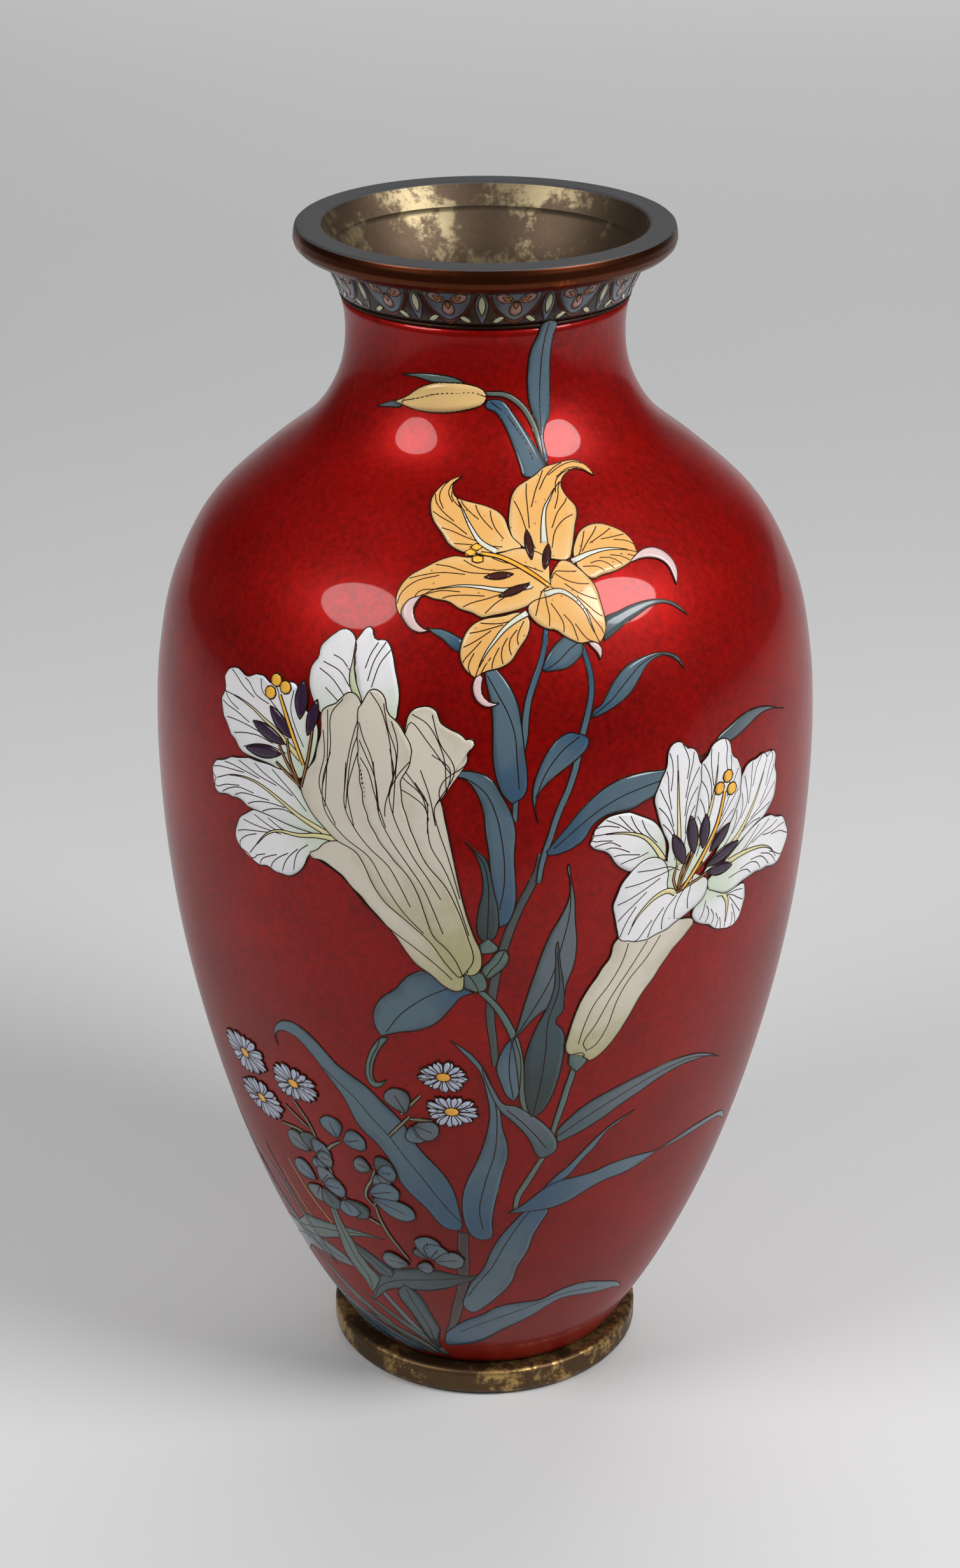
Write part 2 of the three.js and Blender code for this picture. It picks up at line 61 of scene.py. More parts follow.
# ---------------------------------------------------------------- camera, lights and floor
CAMERA_PLACE = (-1.05 * MM, -641.6 * MM, 410.4 * MM)
CAMERA_TILT = math.radians(23.62)
CAMERA_LENS = 76.7


def place_camera():
    """A long lens, level from side to side, looking down at the vase."""
    data = bpy.data.cameras.new("camera")
    data.lens = CAMERA_LENS
    camera = bpy.data.objects.new("camera", data)
    camera.location = CAMERA_PLACE
    camera.rotation_euler = (math.pi / 2 - CAMERA_TILT, 0, 0)
    bpy.context.collection.objects.link(camera)
    bpy.context.scene.camera = camera


def softbox(name, place, aim, width, height, power, shape="ELLIPSE", mirrored=True):
    """A light at a place, turned to face the point it is aimed at; `mirrored` ones show in the gloss."""
    data = bpy.data.lights.new(name, "AREA")
    data.shape = shape
    data.size = width
    data.size_y = height
    data.energy = power
    light = bpy.data.objects.new(name, data)
    light.location = place
    away = Vector(aim) - Vector(place)
    light.rotation_euler = away.to_track_quat("-Z", "Y").to_euler()
    light.visible_glossy = mirrored
    bpy.context.collection.objects.link(light)


def light_studio():
    """Two umbrellas over the shoulders, a wide overhead and a weak fill, in a dim room."""
    softbox("umbrella_left", (-0.62, -0.42, 0.78), (0, 0, 0.17), 0.46, 0.42, 5.2)
    softbox("umbrella_right", (0.62, -0.36, 0.78), (0, 0, 0.17), 0.46, 0.42, 8.4)
    softbox("overhead", (0.3, 2.2, 2.5), (0.1, 1.2, 0), 3.0, 2.6, 35, "RECTANGLE", mirrored=False)
    softbox("back_wash", (0.2, 2.2, 1.3), (0, 1.5, 0), 2.0, 1.2, 13, "RECTANGLE", mirrored=False)
    softbox("front_fill", (0.3, -1.6, 0.8), (0, 0, 0.14), 1.2, 0.8, 2.8, "RECTANGLE", mirrored=False)
    world = bpy.data.worlds.new("room")
    world.use_nodes = True
    background = world.node_tree.nodes["Background"]
    background.inputs["Color"].default_value = (1, 1, 1, 1)
    background.inputs["Strength"].default_value = 0.035
    bpy.context.scene.world = world
    bpy.context.scene.view_settings.view_transform = "Standard"


# ---------------------------------------------------------------- shader arithmetic
class Value:
    """A number that varies over a surface. Arithmetic on it adds Math nodes to its finish."""

    def __init__(self, finish, socket):
        self.finish = finish
        self.socket = socket

    def math(self, operation, *terms):
        """The value that one Math node makes of some terms."""
        return self.finish.node("ShaderNodeMath", {"operation": operation}, dict(enumerate(terms)))

    def __add__(self, other):
        return self.math("ADD", self, other)

    def __radd__(self, other):
        return self.math("ADD", other, self)

    def __sub__(self, other):
        return self.math("SUBTRACT", self, other)

    def __rsub__(self, other):
        return self.math("SUBTRACT", other, self)

    def __mul__(self, other):
        return self.math("MULTIPLY", self, other)

    def __rmul__(self, other):
        return self.math("MULTIPLY", other, self)

    def size(self):
        """The value without its sign."""
        return self.math("ABSOLUTE", self)

    def between(self, low, high):
        """0 below low, 1 above high, and smooth between them; the other way round if low is the greater."""
        settings = {"interpolation_type": "SMOOTHSTEP"}
        ends = {1: min(low, high), 2: max(low, high), 3: 0.0, 4: 1.0}
        if low > high:
            ends.update({3: 1.0, 4: 0.0})
        return self.finish.node("ShaderNodeMapRange", settings, {0: self, **ends})


class Finish:
    """A material: its steady sockets are set by name, and its varying ones are fed by values."""

    def __init__(self, name, **steady):
        self.material = bpy.data.materials.new(name)
        self.material.use_nodes = True
        self.tree = self.material.node_tree
        self.shader = self.tree.nodes["Principled BSDF"]
        for socket, value in steady.items():
            self.shader.inputs[socket.replace("_", " ")].default_value = value

    def node(self, kind, settings=None, inputs=None, output=0):
        """Adds a node, sets it, feeds its sockets, and gives one of its outputs."""
        made = self.tree.nodes.new(kind)
        for setting, value in (settings or {}).items():
            setattr(made, setting, value)
        for socket, value in (inputs or {}).items():
            self.feed(made.inputs[socket], value)
        return Value(self, made.outputs[output])

    def feed(self, socket, value):
        """Links a varying value to a socket, or writes a steady one on it."""
        if isinstance(value, Value):
            self.tree.links.new(value.socket, socket)
        else:
            socket.default_value = value

    def place(self):
        """Where a point lies on the object, in metres."""
        return self.node("ShaderNodeTexCoord", output="Object")

    def across(self):
        """Share of the way across a piece, from its own UV map."""
        return self.node("ShaderNodeSeparateXYZ", inputs={0: self.node("ShaderNodeTexCoord", output="UV")})

    def along(self):
        """Share of the way along a piece, from its own UV map."""
        coordinates = self.node("ShaderNodeTexCoord", output="UV")
        return self.node("ShaderNodeSeparateXYZ", inputs={0: coordinates}, output=1)

    def noise(self, scale, detail=3.0, roughness=0.5):
        """A soft cloudy pattern from 0 to 1; a greater scale makes it finer."""
        inputs = {"Vector": self.place(), "Scale": scale, "Detail": detail, "Roughness": roughness}
        return self.node("ShaderNodeTexNoise", inputs=inputs)

    def grains(self, scale, feature="F1"):
        """A pattern of separate grains; a greater scale makes them smaller."""
        inputs = {"Vector": self.place(), "Scale": scale}
        return self.node("ShaderNodeTexVoronoi", {"feature": feature}, inputs)

    def mix(self, amount, colour, other):
        """One colour where the amount is 0, the other where it is 1."""
        inputs = {0: amount, 6: colour, 7: other}
        return self.node("ShaderNodeMix", {"data_type": "RGBA"}, inputs, output=2)

    def tint(self, value):
        """Sets the base colour."""
        self.feed(self.shader.inputs["Base Color"], value)

    def vary(self, socket, value):
        """Feeds a value that changes over the surface to one of the shader's sockets."""
        self.feed(self.shader.inputs[socket], value)

    def bump(self, height, strength, distance):
        """Fine relief, with its full depth in metres."""
        inputs = {"Height": height, "Strength": strength, "Distance": distance}
        self.feed(self.shader.inputs["Normal"], self.node("ShaderNodeBump", inputs=inputs))


def colour(red, green, blue):
    """A colour given as it looks, in 0 to 255, as the light it reflects."""
    seen = np.array([red, green, blue]) / 255
    light = np.where(seen <= 0.04045, seen / 12.92, ((seen + 0.055) / 1.055) ** 2.4)
    return (*light.tolist(), 1.0)


# ---------------------------------------------------------------- finishes
GLOSS = {"Coat_Weight": 0.45, "Coat_IOR": 1.4, "Coat_Roughness": 0.05, "Specular_IOR_Level": 0.2}


def red_glass():
    """Clear red glass over crinkled foil. Its cloudy mottle is partly the foil's own uneven tone and partly
    painted highlight where a crinkle faces out and painted shade in the folds between; it has dark pits, and
    painted shade darkens it towards the foot.
    """
    finish = Finish("red_glass", Coat_IOR=1.36, Coat_Roughness=0.04, Specular_IOR_Level=0.1)
    crinkle = finish.noise(900, 5.0, 0.7)
    cloud = finish.noise(45, 4.0, 0.6)
    fold = finish.grains(650)
    # Painted highlight and shade: the red is brighter where the crinkle noise is high and darker in the
    # folds, on top of the foil's own cloudy tone.
    light = (crinkle - 0.5) * 0.9 + 0.55 + (cloud - 0.5) * 0.8 - fold * 0.12
    base = finish.mix(light.between(0.0, 1.0), colour(98, 8, 6), colour(176, 14, 8))
    pits = finish.grains(260).between(0.035, 0.015)
    height = finish.node("ShaderNodeSeparateXYZ", inputs={0: finish.place()}, output=2)
    # Painted shade: below 0.17 m the red turns, at most half way, to a dull brown-red towards the foot,
    # where the belly faces down.
    base = finish.mix(height.between(0.17, 0.06) * 0.5, base, colour(96, 24, 14))
    finish.tint(finish.mix(pits * 0.7, base, colour(40, 8, 8)))
    foil = height.between(0.02, 0.18)
    finish.vary("Metallic", (cloud * 0.3 + 0.3) * (foil * 0.75 + 0.25))
    finish.vary("Coat Weight", foil * 0.25 + 0.3)
    finish.vary("Roughness", crinkle * 0.15 + 0.36)
    finish.bump(crinkle + fold, 0.12, 0.0001)
    return finish


def enamel(name, body, edge, base=None, speckle=0.25, streak=0.35):
    """Opaque polished enamel: one colour mid-cell, another at the wires, a third at the root."""
    finish = Finish(name, Roughness=0.25, **GLOSS)
    rim = ((finish.across() - 0.5) * 2).size()
    cloud = finish.noise(260, 4.0, 0.6)
    amount = (rim * 0.8 + (cloud - 0.5) * streak * 2).between(0.25, 1.0)
    blotch = finish.noise(70, 3.0, 0.55)
    tint = finish.mix((amount * 0.6 + (blotch - 0.5) * 1.6).between(0.0, 0.8), body, edge)
    if base:
        rise = (finish.along() + (cloud - 0.5) * 0.3).between(0.5, 0.02)
        tint = finish.mix(rise, tint, base)
    pores = finish.grains(1100).between(0.16, 0.07)
    finish.tint(finish.mix(pores * speckle, tint, colour(60, 45, 40)))
    finish.vary("Roughness", cloud * 0.15 + 0.16)
    finish.bump(pores, 0.1, -0.00005)
    return finish


def freckled(finish, body, edge, rib):
    """Golden petal: paler at the edges and towards its root, with a few brown freckles."""
    side = ((finish.across() - 0.5) * 2).size()
    along = finish.along()
    cloud = finish.noise(240, 4.0, 0.6)
    tint = finish.mix((side + (cloud - 0.5) * 0.5).between(0.62, 1.05), body, edge)
    pale = (along + (cloud - 0.5) * 0.3).between(0.35, 0.0)
    tint = finish.mix(pale * 0.6, tint, rib)
    freckle = finish.grains(520).between(0.13, 0.07)
    tint = finish.mix(freckle * 0.7, tint, colour(120, 60, 45))
    finish.tint(tint)
    finish.vary("Roughness", cloud * 0.15 + 0.16)
    return finish


def patina(name, dark, worn, wear, scale=90, rough=0.35, metal=0.9):
    """Old metal under a dark skin, rubbed through to brighter metal in patches."""
    finish = Finish(name, Metallic=metal)
    cloud = finish.noise(scale, 6.0, 0.62)
    fine = finish.noise(900, 3.0, 0.6)
    bright = (cloud + (fine - 0.5) * 0.25).between(1 - wear, 1.12 - wear)
    tint = finish.mix(fine * 0.35, dark, colour(30, 20, 16))
    finish.tint(finish.mix(bright, tint, worn))
    finish.vary("Roughness", rough + cloud * 0.25 - bright * 0.1)
    finish.bump(cloud + fine * 0.4, 0.2, 0.0001)
    return finish


def make_finishes():
    """Every finish of the vase by its short name."""
    made = {
        "red": red_glass(),
        "white": enamel("white_enamel", colour(232, 230, 232), colour(216, 216, 218), colour(196, 210, 184)),
        "throat": enamel("throat_enamel", colour(196, 204, 170), colour(182, 192, 160),
                         colour(170, 178, 130)),
        "tube": enamel("cream_enamel", colour(212, 204, 188), colour(194, 184, 166), colour(170, 162, 118)),
        "bud": enamel("bud_enamel", colour(222, 186, 124), colour(204, 168, 112)),
        "pink": enamel("pink_enamel", colour(214, 186, 184), colour(196, 164, 164)),
        "slate": enamel("slate_enamel", colour(84, 104, 116), colour(68, 82, 92), colour(54, 82, 106)),
        "grey": enamel("grey_enamel", colour(92, 102, 108), colour(68, 80, 86), colour(66, 84, 90)),
        "dark_green": enamel("dark_green_enamel", colour(56, 74, 78), colour(42, 56, 60),
                             colour(46, 54, 52)),
        "green": enamel("green_enamel", colour(88, 106, 100), colour(66, 82, 78)),
        "olive": enamel("olive_enamel", colour(96, 104, 96), colour(72, 80, 76)),
        "brown": enamel("brown_enamel", colour(66, 46, 42), colour(48, 34, 34)),
        "bark": enamel("bark_enamel", colour(70, 74, 74), colour(46, 48, 50)),
        "amber": enamel("amber_enamel", colour(170, 120, 60), colour(130, 86, 46)),
        "anther": enamel("anther_enamel", colour(74, 36, 34), colour(44, 22, 24)),
        "aubergine": enamel("aubergine_enamel", colour(54, 34, 58), colour(34, 22, 38)),
        "pistil": enamel("pistil_enamel", colour(242, 184, 70), colour(215, 140, 45)),
        "disc": enamel("disc_enamel", colour(235, 170, 60), colour(215, 140, 45)),
        "stalk": enamel("stalk_enamel", colour(124, 122, 100), colour(96, 96, 80)),
        "stripe": enamel("stripe_enamel", colour(222, 212, 158), colour(204, 194, 140)),
        "pale": enamel("pale_enamel", colour(214, 214, 198), colour(196, 196, 180)),
        "daisy": enamel("daisy_enamel", colour(176, 182, 200), colour(150, 156, 178), speckle=0.1),
        "blue_grey": enamel("border_blue_enamel", colour(96, 112, 122), colour(64, 78, 86)),
        "rust": enamel("border_rust_enamel", colour(96, 44, 30), colour(70, 34, 26)),
        "rose": enamel("border_rose_enamel", colour(176, 138, 132), colour(150, 112, 106), speckle=0.1),
        "cream": enamel("border_cream_enamel", colour(200, 205, 170), colour(170, 172, 140)),
        "border": enamel("border_ground_enamel", colour(46, 32, 28), colour(36, 26, 24)),
        "under": enamel("underside_enamel", colour(38, 56, 60), colour(30, 44, 48)),
        "yellow": freckled(Finish("yellow_enamel", Roughness=0.25, **GLOSS), colour(224, 170, 100),
                           colour(226, 186, 128), colour(226, 196, 138)),
        "wire": patina("wire_brass", colour(58, 40, 30), colour(104, 80, 52), 0.4, 400, 0.35),
        "rim": patina("rim_bronze", colour(92, 44, 20), colour(140, 66, 30), 0.4, 60, 0.2),
        "rim_top": patina("rim_top_bronze", colour(78, 78, 80), colour(100, 92, 80), 0.35, 60, 0.45,
                          metal=0.3),
        "inside": patina("inside_copper", colour(98, 82, 66), colour(146, 132, 102), 0.49, 80, 0.44),
        "foot": patina("foot_brass", colour(98, 76, 52), colour(190, 156, 98), 0.5, 70, 0.36),
    }
    return {name: finish.material for name, finish in made.items()}


# ---------------------------------------------------------------- the wall of the vase
def cad_points(node):
    """The corners of a CAD solid, in metres, one row each."""
    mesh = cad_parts[node].data
    points = np.empty(len(mesh.vertices) * 3)
    mesh.vertices.foreach_get("co", points)
    return points.reshape(-1, 3)


def hermite(knots, values, at):
    """A cubic through every knot, whose slope at a knot is that of the parabola through its neighbours."""
    slopes = np.gradient(values, knots, axis=0)
    i = np.clip(np.searchsorted(knots, at, side="right") - 1, 0, len(knots) - 2)
    span = knots[i + 1] - knots[i]
    t = (at - knots[i]) / span
    if values.ndim > 1:
        t, span = t[:, None], span[:, None]
    step = values[i + 1] - values[i]
    rise = t * t * (3 - 2 * t)
    leave = t * (1 - t) ** 2 * span * slopes[i]
    arrive = t * t * (t - 1) * span * slopes[i + 1]
    return values[i] + step * rise + leave + arrive


CLOSEST_ROWS = 2 * MM


def read_wall():
    """Height, radius and distance along the wall, from the copper body's facet rows and the coat over it."""
    points = cad_points("copper_body")
    front = points[(np.abs(points[:, 0]) < 1e-5) & (points[:, 1] < 0)]
    heights, radii = [], []
    for z in np.unique(np.round(front[:, 2], 5)):
        if heights and z - heights[-1] < CLOSEST_ROWS and z < front[:, 2].max() - CLOSEST_ROWS:
            continue
        heights.append(z)
        radii.append(-front[np.abs(front[:, 2] - z) < 1e-5, 1].min() + COAT)
    z = np.linspace(heights[0], heights[-1], 1600)
    r = hermite(np.array(heights), np.array(radii), z)
    s = np.concatenate([[0], np.cumsum(np.hypot(np.diff(z), np.diff(r)))])
    return z, r, s


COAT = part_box("red_ground")[1][0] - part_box("copper_body")[1][0]
WALL_Z, WALL_R, WALL_S = read_wall()
WALL_LEAN = np.gradient(WALL_R, WALL_S)
WALL_RISE = np.gradient(WALL_Z, WALL_S)


def on_wall(turn, up, lift):
    """The point at `turn` degrees and `up` millimetres of wall, `lift` metres out from the ground's face."""
    s = np.asarray(up) * WALL_S[-1] / DRAWN_WALL
    lean, rise = np.interp(s, WALL_S, WALL_LEAN), np.interp(s, WALL_S, WALL_RISE)
    out = lift - SETBACK
    r = np.interp(s, WALL_S, WALL_R) + out * rise
    z = np.interp(s, WALL_S, WALL_Z) - out * lean
    a = np.radians(turn)
    return np.stack([r * np.sin(a), -r * np.cos(a), z + 0 * a], axis=-1)


def up_at(z):
    """Millimetres of wall at a height."""
    return np.interp(z, WALL_Z, WALL_S) * DRAWN_WALL / WALL_S[-1]


def degree_width(up):
    """Millimetres round the wall for one degree of turn."""
    s = np.asarray(up) * WALL_S[-1] / DRAWN_WALL
    return np.interp(s, WALL_S, WALL_R) / MM * math.pi / 180


# ---------------------------------------------------------------- meshes
def make_piece(name, points, faces, finishes, uv=None, face_finish=None, smooth=True):
    """A mesh at the origin, its doubled points merged so that its seams and poles are closed."""
    mesh = bpy.data.meshes.new(name)
    mesh.from_pydata(points.tolist(), [], faces.tolist() if hasattr(faces, "tolist") else faces)
    if uv is not None:
        corners = np.empty(len(mesh.loops), dtype=np.int32)
        mesh.loops.foreach_get("vertex_index", corners)
        mesh.uv_layers.new(name="UVMap").data.foreach_set("uv", uv[corners].astype(np.float32).ravel())
    for finish in finishes:
        mesh.materials.append(FINISHES[finish])
    if face_finish is not None:
        mesh.polygons.foreach_set("material_index", np.asarray(face_finish, dtype=np.int32))
    work = bmesh.new()
    work.from_mesh(mesh)
    bmesh.ops.remove_doubles(work, verts=work.verts, dist=1e-7)
    bmesh.ops.dissolve_degenerate(work, edges=work.edges, dist=1e-7)
    work.to_mesh(mesh)
    work.free()
    mesh.polygons.foreach_set("use_smooth", [smooth] * len(mesh.polygons))
    piece = bpy.data.objects.new(name, mesh)
    bpy.context.collection.objects.link(piece)
    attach(piece, "root")
    return piece


def grid_faces(rows, columns, close_rows=False, close_columns=False, start=0):
    """Quads of a grid of points, numbered row by row; a closed grid joins its last line to its first."""
    i = np.arange(rows if close_rows else rows - 1)
    j = np.arange(columns if close_columns else columns - 1)
    i, j = np.meshgrid(i, j, indexing="ij")
    i, j = i.ravel(), j.ravel()
    k, m = (i + 1) % rows, (j + 1) % columns
    corners = [i * columns + j, i * columns + m, k * columns + m, k * columns + j]
    return np.stack(corners, axis=1) + start


def turned(name, profile, finishes, segments=192, finish_at=None):
    """A profile of (radius, height) in metres, closed on itself, carried round the axis in equal steps.

    The profile runs up the outside and down the inside. finish_at gives each stretch's finish by number.
    """
    profile = np.array(profile)
    turn = np.linspace(0, 2 * math.pi, segments, endpoint=False)
    r, a = profile[None, :, 0], turn[:, None]
    z = np.broadcast_to(profile[None, :, 1], (segments, len(profile)))
    points = np.stack([r * np.sin(a), -r * np.cos(a), z], axis=-1).reshape(-1, 3)
    faces = grid_faces(segments, len(profile), True, True)[:, ::-1]
    per_face = None if finish_at is None else np.tile(finish_at, segments)
    return make_piece(name, points, faces, finishes, face_finish=per_face)


# ---------------------------------------------------------------- cells and their wires
def smooth_line(points, count):
    """A smooth curve through (turn, up) points, as `count` points evenly spaced along it."""
    knots = np.array(points, dtype=float)
    width = degree_width(knots[:, 1].mean())
    scale = np.array([width, 1])
    gaps = np.hypot(*(np.diff(knots, axis=0) * scale).T)
    chord = np.concatenate([[0], np.cumsum(np.sqrt(gaps))])
    fine = hermite(chord, knots, np.linspace(0, chord[-1], 24 * len(knots)))
    length = np.concatenate([[0], np.cumsum(np.hypot(*(np.diff(fine, axis=0) * scale).T))])
    even = np.linspace(0, length[-1], count)
    return np.stack([np.interp(even, length, fine[:, 0]), np.interp(even, length, fine[:, 1])], axis=1)


def beside(line):
    """For each point of a line, the (turn, up) step one millimetre to the right of the way ahead."""
    scale = np.array([degree_width(line[:, 1].mean()), 1])
    ahead = np.gradient(line * scale, axis=0)
    ahead /= np.linalg.norm(ahead, axis=1, keepdims=True) + 1e-9
    return np.stack([ahead[:, 1], -ahead[:, 0]], axis=1) / scale


def length_of(points):
    """Length in millimetres of a path of (turn, up) points: the sum of its steps on the wall."""
    steps = np.diff(np.array(points, dtype=float), axis=0)
    width = degree_width(np.mean([up for _, up in points]))
    return np.hypot(steps[:, 0] * width, steps[:, 1]).sum()


class Layers:
    """Counts the cells from the one farthest behind, gathers pieces that share a node, and their wires."""

    def __init__(self):
        self.count = 0
        self.cells = {}
        self.wires = {}
        self.group = None


LAYERS = Layers()


def slab(line, other, lift, depth=CELL_DEPTH):
    """A closed tile: its face is the grid of points between two edge lines, its back lies `depth` behind."""
    gap = np.hypot((line[:, 0] - other[:, 0]) * degree_width(line[:, 1]), line[:, 1] - other[:, 1]).max()
    columns = int(np.clip(gap / GRID_STEP, 3, 40)) + 1
    part = np.linspace(0, 1, columns)[None, :, None]
    chart = line[:, None, :] * (1 - part) + other[:, None, :] * part
    rows = len(line)
    face = on_wall(chart[..., 0], chart[..., 1], lift).reshape(-1, 3)
    back = on_wall(chart[..., 0], chart[..., 1], lift - depth).reshape(-1, 3)
    outline = np.concatenate([line, other[::-1]])
    x, y = outline[:, 0], outline[:, 1]
    area = np.sum(x * np.roll(y, -1) - np.roll(x, -1) * y)
    front = grid_faces(rows, columns)
    rear = front[:, ::-1] + rows * columns
    border = np.concatenate([
        np.arange(columns), np.arange(1, rows) * columns + columns - 1,
        (rows - 1) * columns + np.arange(columns - 2, -1, -1), np.arange(rows - 2, 0, -1) * columns,
    ])
    after = np.roll(border, -1)
    sides = np.stack([border, border + rows * columns, after + rows * columns, after], axis=1)
    faces = np.concatenate([front, rear, sides])
    if area > 0:
        faces = faces[:, ::-1]
    u, v = np.meshgrid(np.linspace(0, 1, columns), np.linspace(0, 1, rows))
    uv = np.tile(np.stack([u.ravel(), v.ravel()], axis=1), (2, 1))
    return np.concatenate([face, back]), faces, uv


WIRE_SECTION = np.array([(-0.5, -1.0), (-0.5, -0.12), (-0.36, 0.0), (0.36, 0.0), (0.5, -0.12), (0.5, -1.0)])
WIRE_DEPTH = 0.45 * MM
WIRE_STEP = 0.8


def wire(line, lift, width=WIRE_WIDTH):
    """A flat wire on edge: its rounded top section carried along a line on the wall, square to it."""
    steps = max(3, int(length_of(line) / WIRE_STEP))
    line = smooth_line(line, steps) if len(line) != steps else np.asarray(line)
    centre = on_wall(line[:, 0], line[:, 1], lift)
    out = on_wall(line[:, 0], line[:, 1], lift + MM) - centre
    out /= np.linalg.norm(out, axis=1, keepdims=True)
    ahead = np.gradient(centre, axis=0)
    side = np.cross(ahead, out)
    side /= np.linalg.norm(side, axis=1, keepdims=True) + 1e-12
    across, deep = WIRE_SECTION[None, :, 0, None] * width, WIRE_SECTION[None, :, 1, None] * WIRE_DEPTH
    points = centre[:, None, :] + side[:, None, :] * across + out[:, None, :] * deep
    count = len(WIRE_SECTION)
    faces = grid_faces(len(line), count, False, True).tolist()
    faces.append(list(range(count))[::-1])
    faces.append([(len(line) - 1) * count + k for k in range(count)])
    return points.reshape(-1, 3), faces


def add_wire(line, lift, width=WIRE_WIDTH):
    """Puts a wire with the others of the group at hand."""
    LAYERS.wires.setdefault(LAYERS.group, []).append(wire(line, lift, width))


VEINED = {"yellow": (5, "pale", 0.3), "white": (5, "stripe", 0.4), "tube": (3, None, 0.78)}
LEAFY = ("slate", "grey", "dark_green", "green")
LEAF_RIB_GAP = 3.0
HAND_RIBS = 3
VEIN_GAP = 6.0


def within(edges, path):
    """Points at shares (across, along) of a cell, as (turn, up)."""
    path = np.array(path, dtype=float)
    k, rows = path[:, 1] * (len(edges[0]) - 1), np.arange(len(edges[0]))
    ends = [np.stack([np.interp(k, rows, edge[:, 0]), np.interp(k, rows, edge[:, 1])], axis=1)
            for edge in edges]
    return ends[0] * (1 - path[:, :1]) + ends[1] * path[:, :1]


RUFFLED = ("white", "tube")
RUFFLE_LENGTH = 5.0
RUFFLE = 0.28


def ruffled(edge, side):
    """An edge with shallow scallops over its outer half: RUFFLE millimetres of |sin| outwards."""
    share = np.linspace(0, 1, len(edge))
    crests = round(len(edge) * GRID_STEP / RUFFLE_LENGTH)
    growth = np.clip((share - 0.4) * 4, 0, 1) * (share < 1)
    swell = RUFFLE * np.abs(np.sin(math.pi * crests * share)) * growth
    return edge + side * beside(edge) * swell[:, None]


def vein(edges, side, high, reach=0.3):
    """A fine wire that starts near one edge and bends in towards the midrib and down to the root."""
    path = [(0.06, high), (0.18, high - 0.22 * reach), (0.28, high - 0.56 * reach), (0.33, high - reach)]
    return within(edges, [(u if side else 1 - u, max(v, 0.02)) for u, v in path])


def cell(name, node, finish, line, other, ribs=(), wired=True):
    """An enamel cell between two edge lines that run from its root to its tip, with its wires and ribs."""
    LAYERS.count += 1
    lift = LAYERS.count * CELL_RISE
    rows = max(4, int(max(length_of(line), length_of(other)) / GRID_STEP))
    edges = smooth_line(line, rows), smooth_line(other, rows)
    if finish in RUFFLED and rows > 10:
        edges = ruffled(edges[0], -1), ruffled(edges[1], 1)
        line, other = edges
    LAYERS.cells.setdefault((node or name, node, finish), []).append(slab(*edges, lift))
    lines = list(ribs)
    if wired:
        lines += [line, other]
    middle = within(edges, [(0, 0.5), (1, 0.5)])
    gap = abs(middle[1] - middle[0]) @ [degree_width(middle[0, 1]), 1]
    if finish in LEAFY and not len(ribs) and gap > LEAF_RIB_GAP and rows > 8:
        lines.append(within(edges, [(0.5, v) for v in np.linspace(0.02, 0.94, 6)]))
    count, midrib, low = VEINED.get(finish, (0, None, 1))
    if len(ribs) >= HAND_RIBS:
        count, midrib = 0, None
    elif gap < VEIN_GAP:
        count = 0
    elif finish == "tube":
        lines += [within(edges, [(u, v) for v in np.linspace(0.3 * u + 0.08, 0.78, 8)]) for u in (0.3, 0.66)]
    for k in range(count):
        for side in (True, False):
            lines.append(vein(edges, side, 0.95 - (0.95 - low) * (k + 0.3 * side) / count, 0.26))
    for path in lines:
        add_wire(path, lift + CELL_RISE / 2)
    if midrib:
        middle = smooth_line(ribs[0], 16)[:14]
        taper = np.linspace(0.62, 0.06, len(middle))[:, None]
        side = beside(middle) * taper
        cell(name + "_midrib", None, midrib, middle + side, middle - side)


def stem(name, node, finish, width, path):
    """A stalk `width` millimetres wide along a path, a little narrower at its ends."""
    count = max(5, int(length_of(path) / 3))
    middle = smooth_line(path, count)
    side = beside(middle)
    half = width / 2 * (0.75 + 0.25 * np.sin(np.linspace(0, math.pi, count)))[:, None]
    cell(name, node, finish, middle + side * half, middle - side * half)


def lens(name, node, finish, start, end, half_width, skew=1.0, blunt=0.8, ribs=()):
    """A pointed oval between two points: its edges are arcs that bulge `half_width` millimetres.

    The bulge is sin(pi t^skew)^blunt at a share t of the way, so a skew above 1 widens the far end.
    """
    t = np.linspace(0, 1, 11)[:, None]
    start, end = np.array(start, dtype=float), np.array(end, dtype=float)
    scale = np.array([degree_width((start[1] + end[1]) / 2), 1])
    ahead = (end - start) * scale
    side = np.array([ahead[1], -ahead[0]]) / np.linalg.norm(ahead) / scale
    bulge = side * half_width * np.sin(math.pi * t ** skew).clip(0) ** blunt
    middle = start + (end - start) * t
    cell(name, node, finish, middle + bulge, middle - bulge, ribs)


def oval(name, node, finish, centre, half_width, half_height, lean=0.0, wired=True):
    """An ellipse of `half_width` degrees by `half_height` millimetres, leaned over by an angle."""
    t = np.linspace(0, math.pi, 11)
    width = degree_width(centre[1])
    x, y = half_width * width * np.sin(t), -half_height * np.cos(t)
    c, s = math.cos(math.radians(lean)), math.sin(math.radians(lean))
    edges = []
    for sign in (1, -1):
        edge = np.stack([(sign * x * c - y * s) / width, sign * x * s + y * c], axis=1) + np.array(centre)
        edges.append(edge)
    cell(name, node, finish, *edges, wired=wired)


def joined(parts):
    """Several closed shells as one: their points stacked and their faces renumbered to match."""
    points, faces, start = [], [], 0
    for part in parts:
        points.append(part[0])
        faces.extend((np.asarray(face) + start).tolist() for face in part[1])
        start += len(part[0])
    return np.concatenate(points), faces


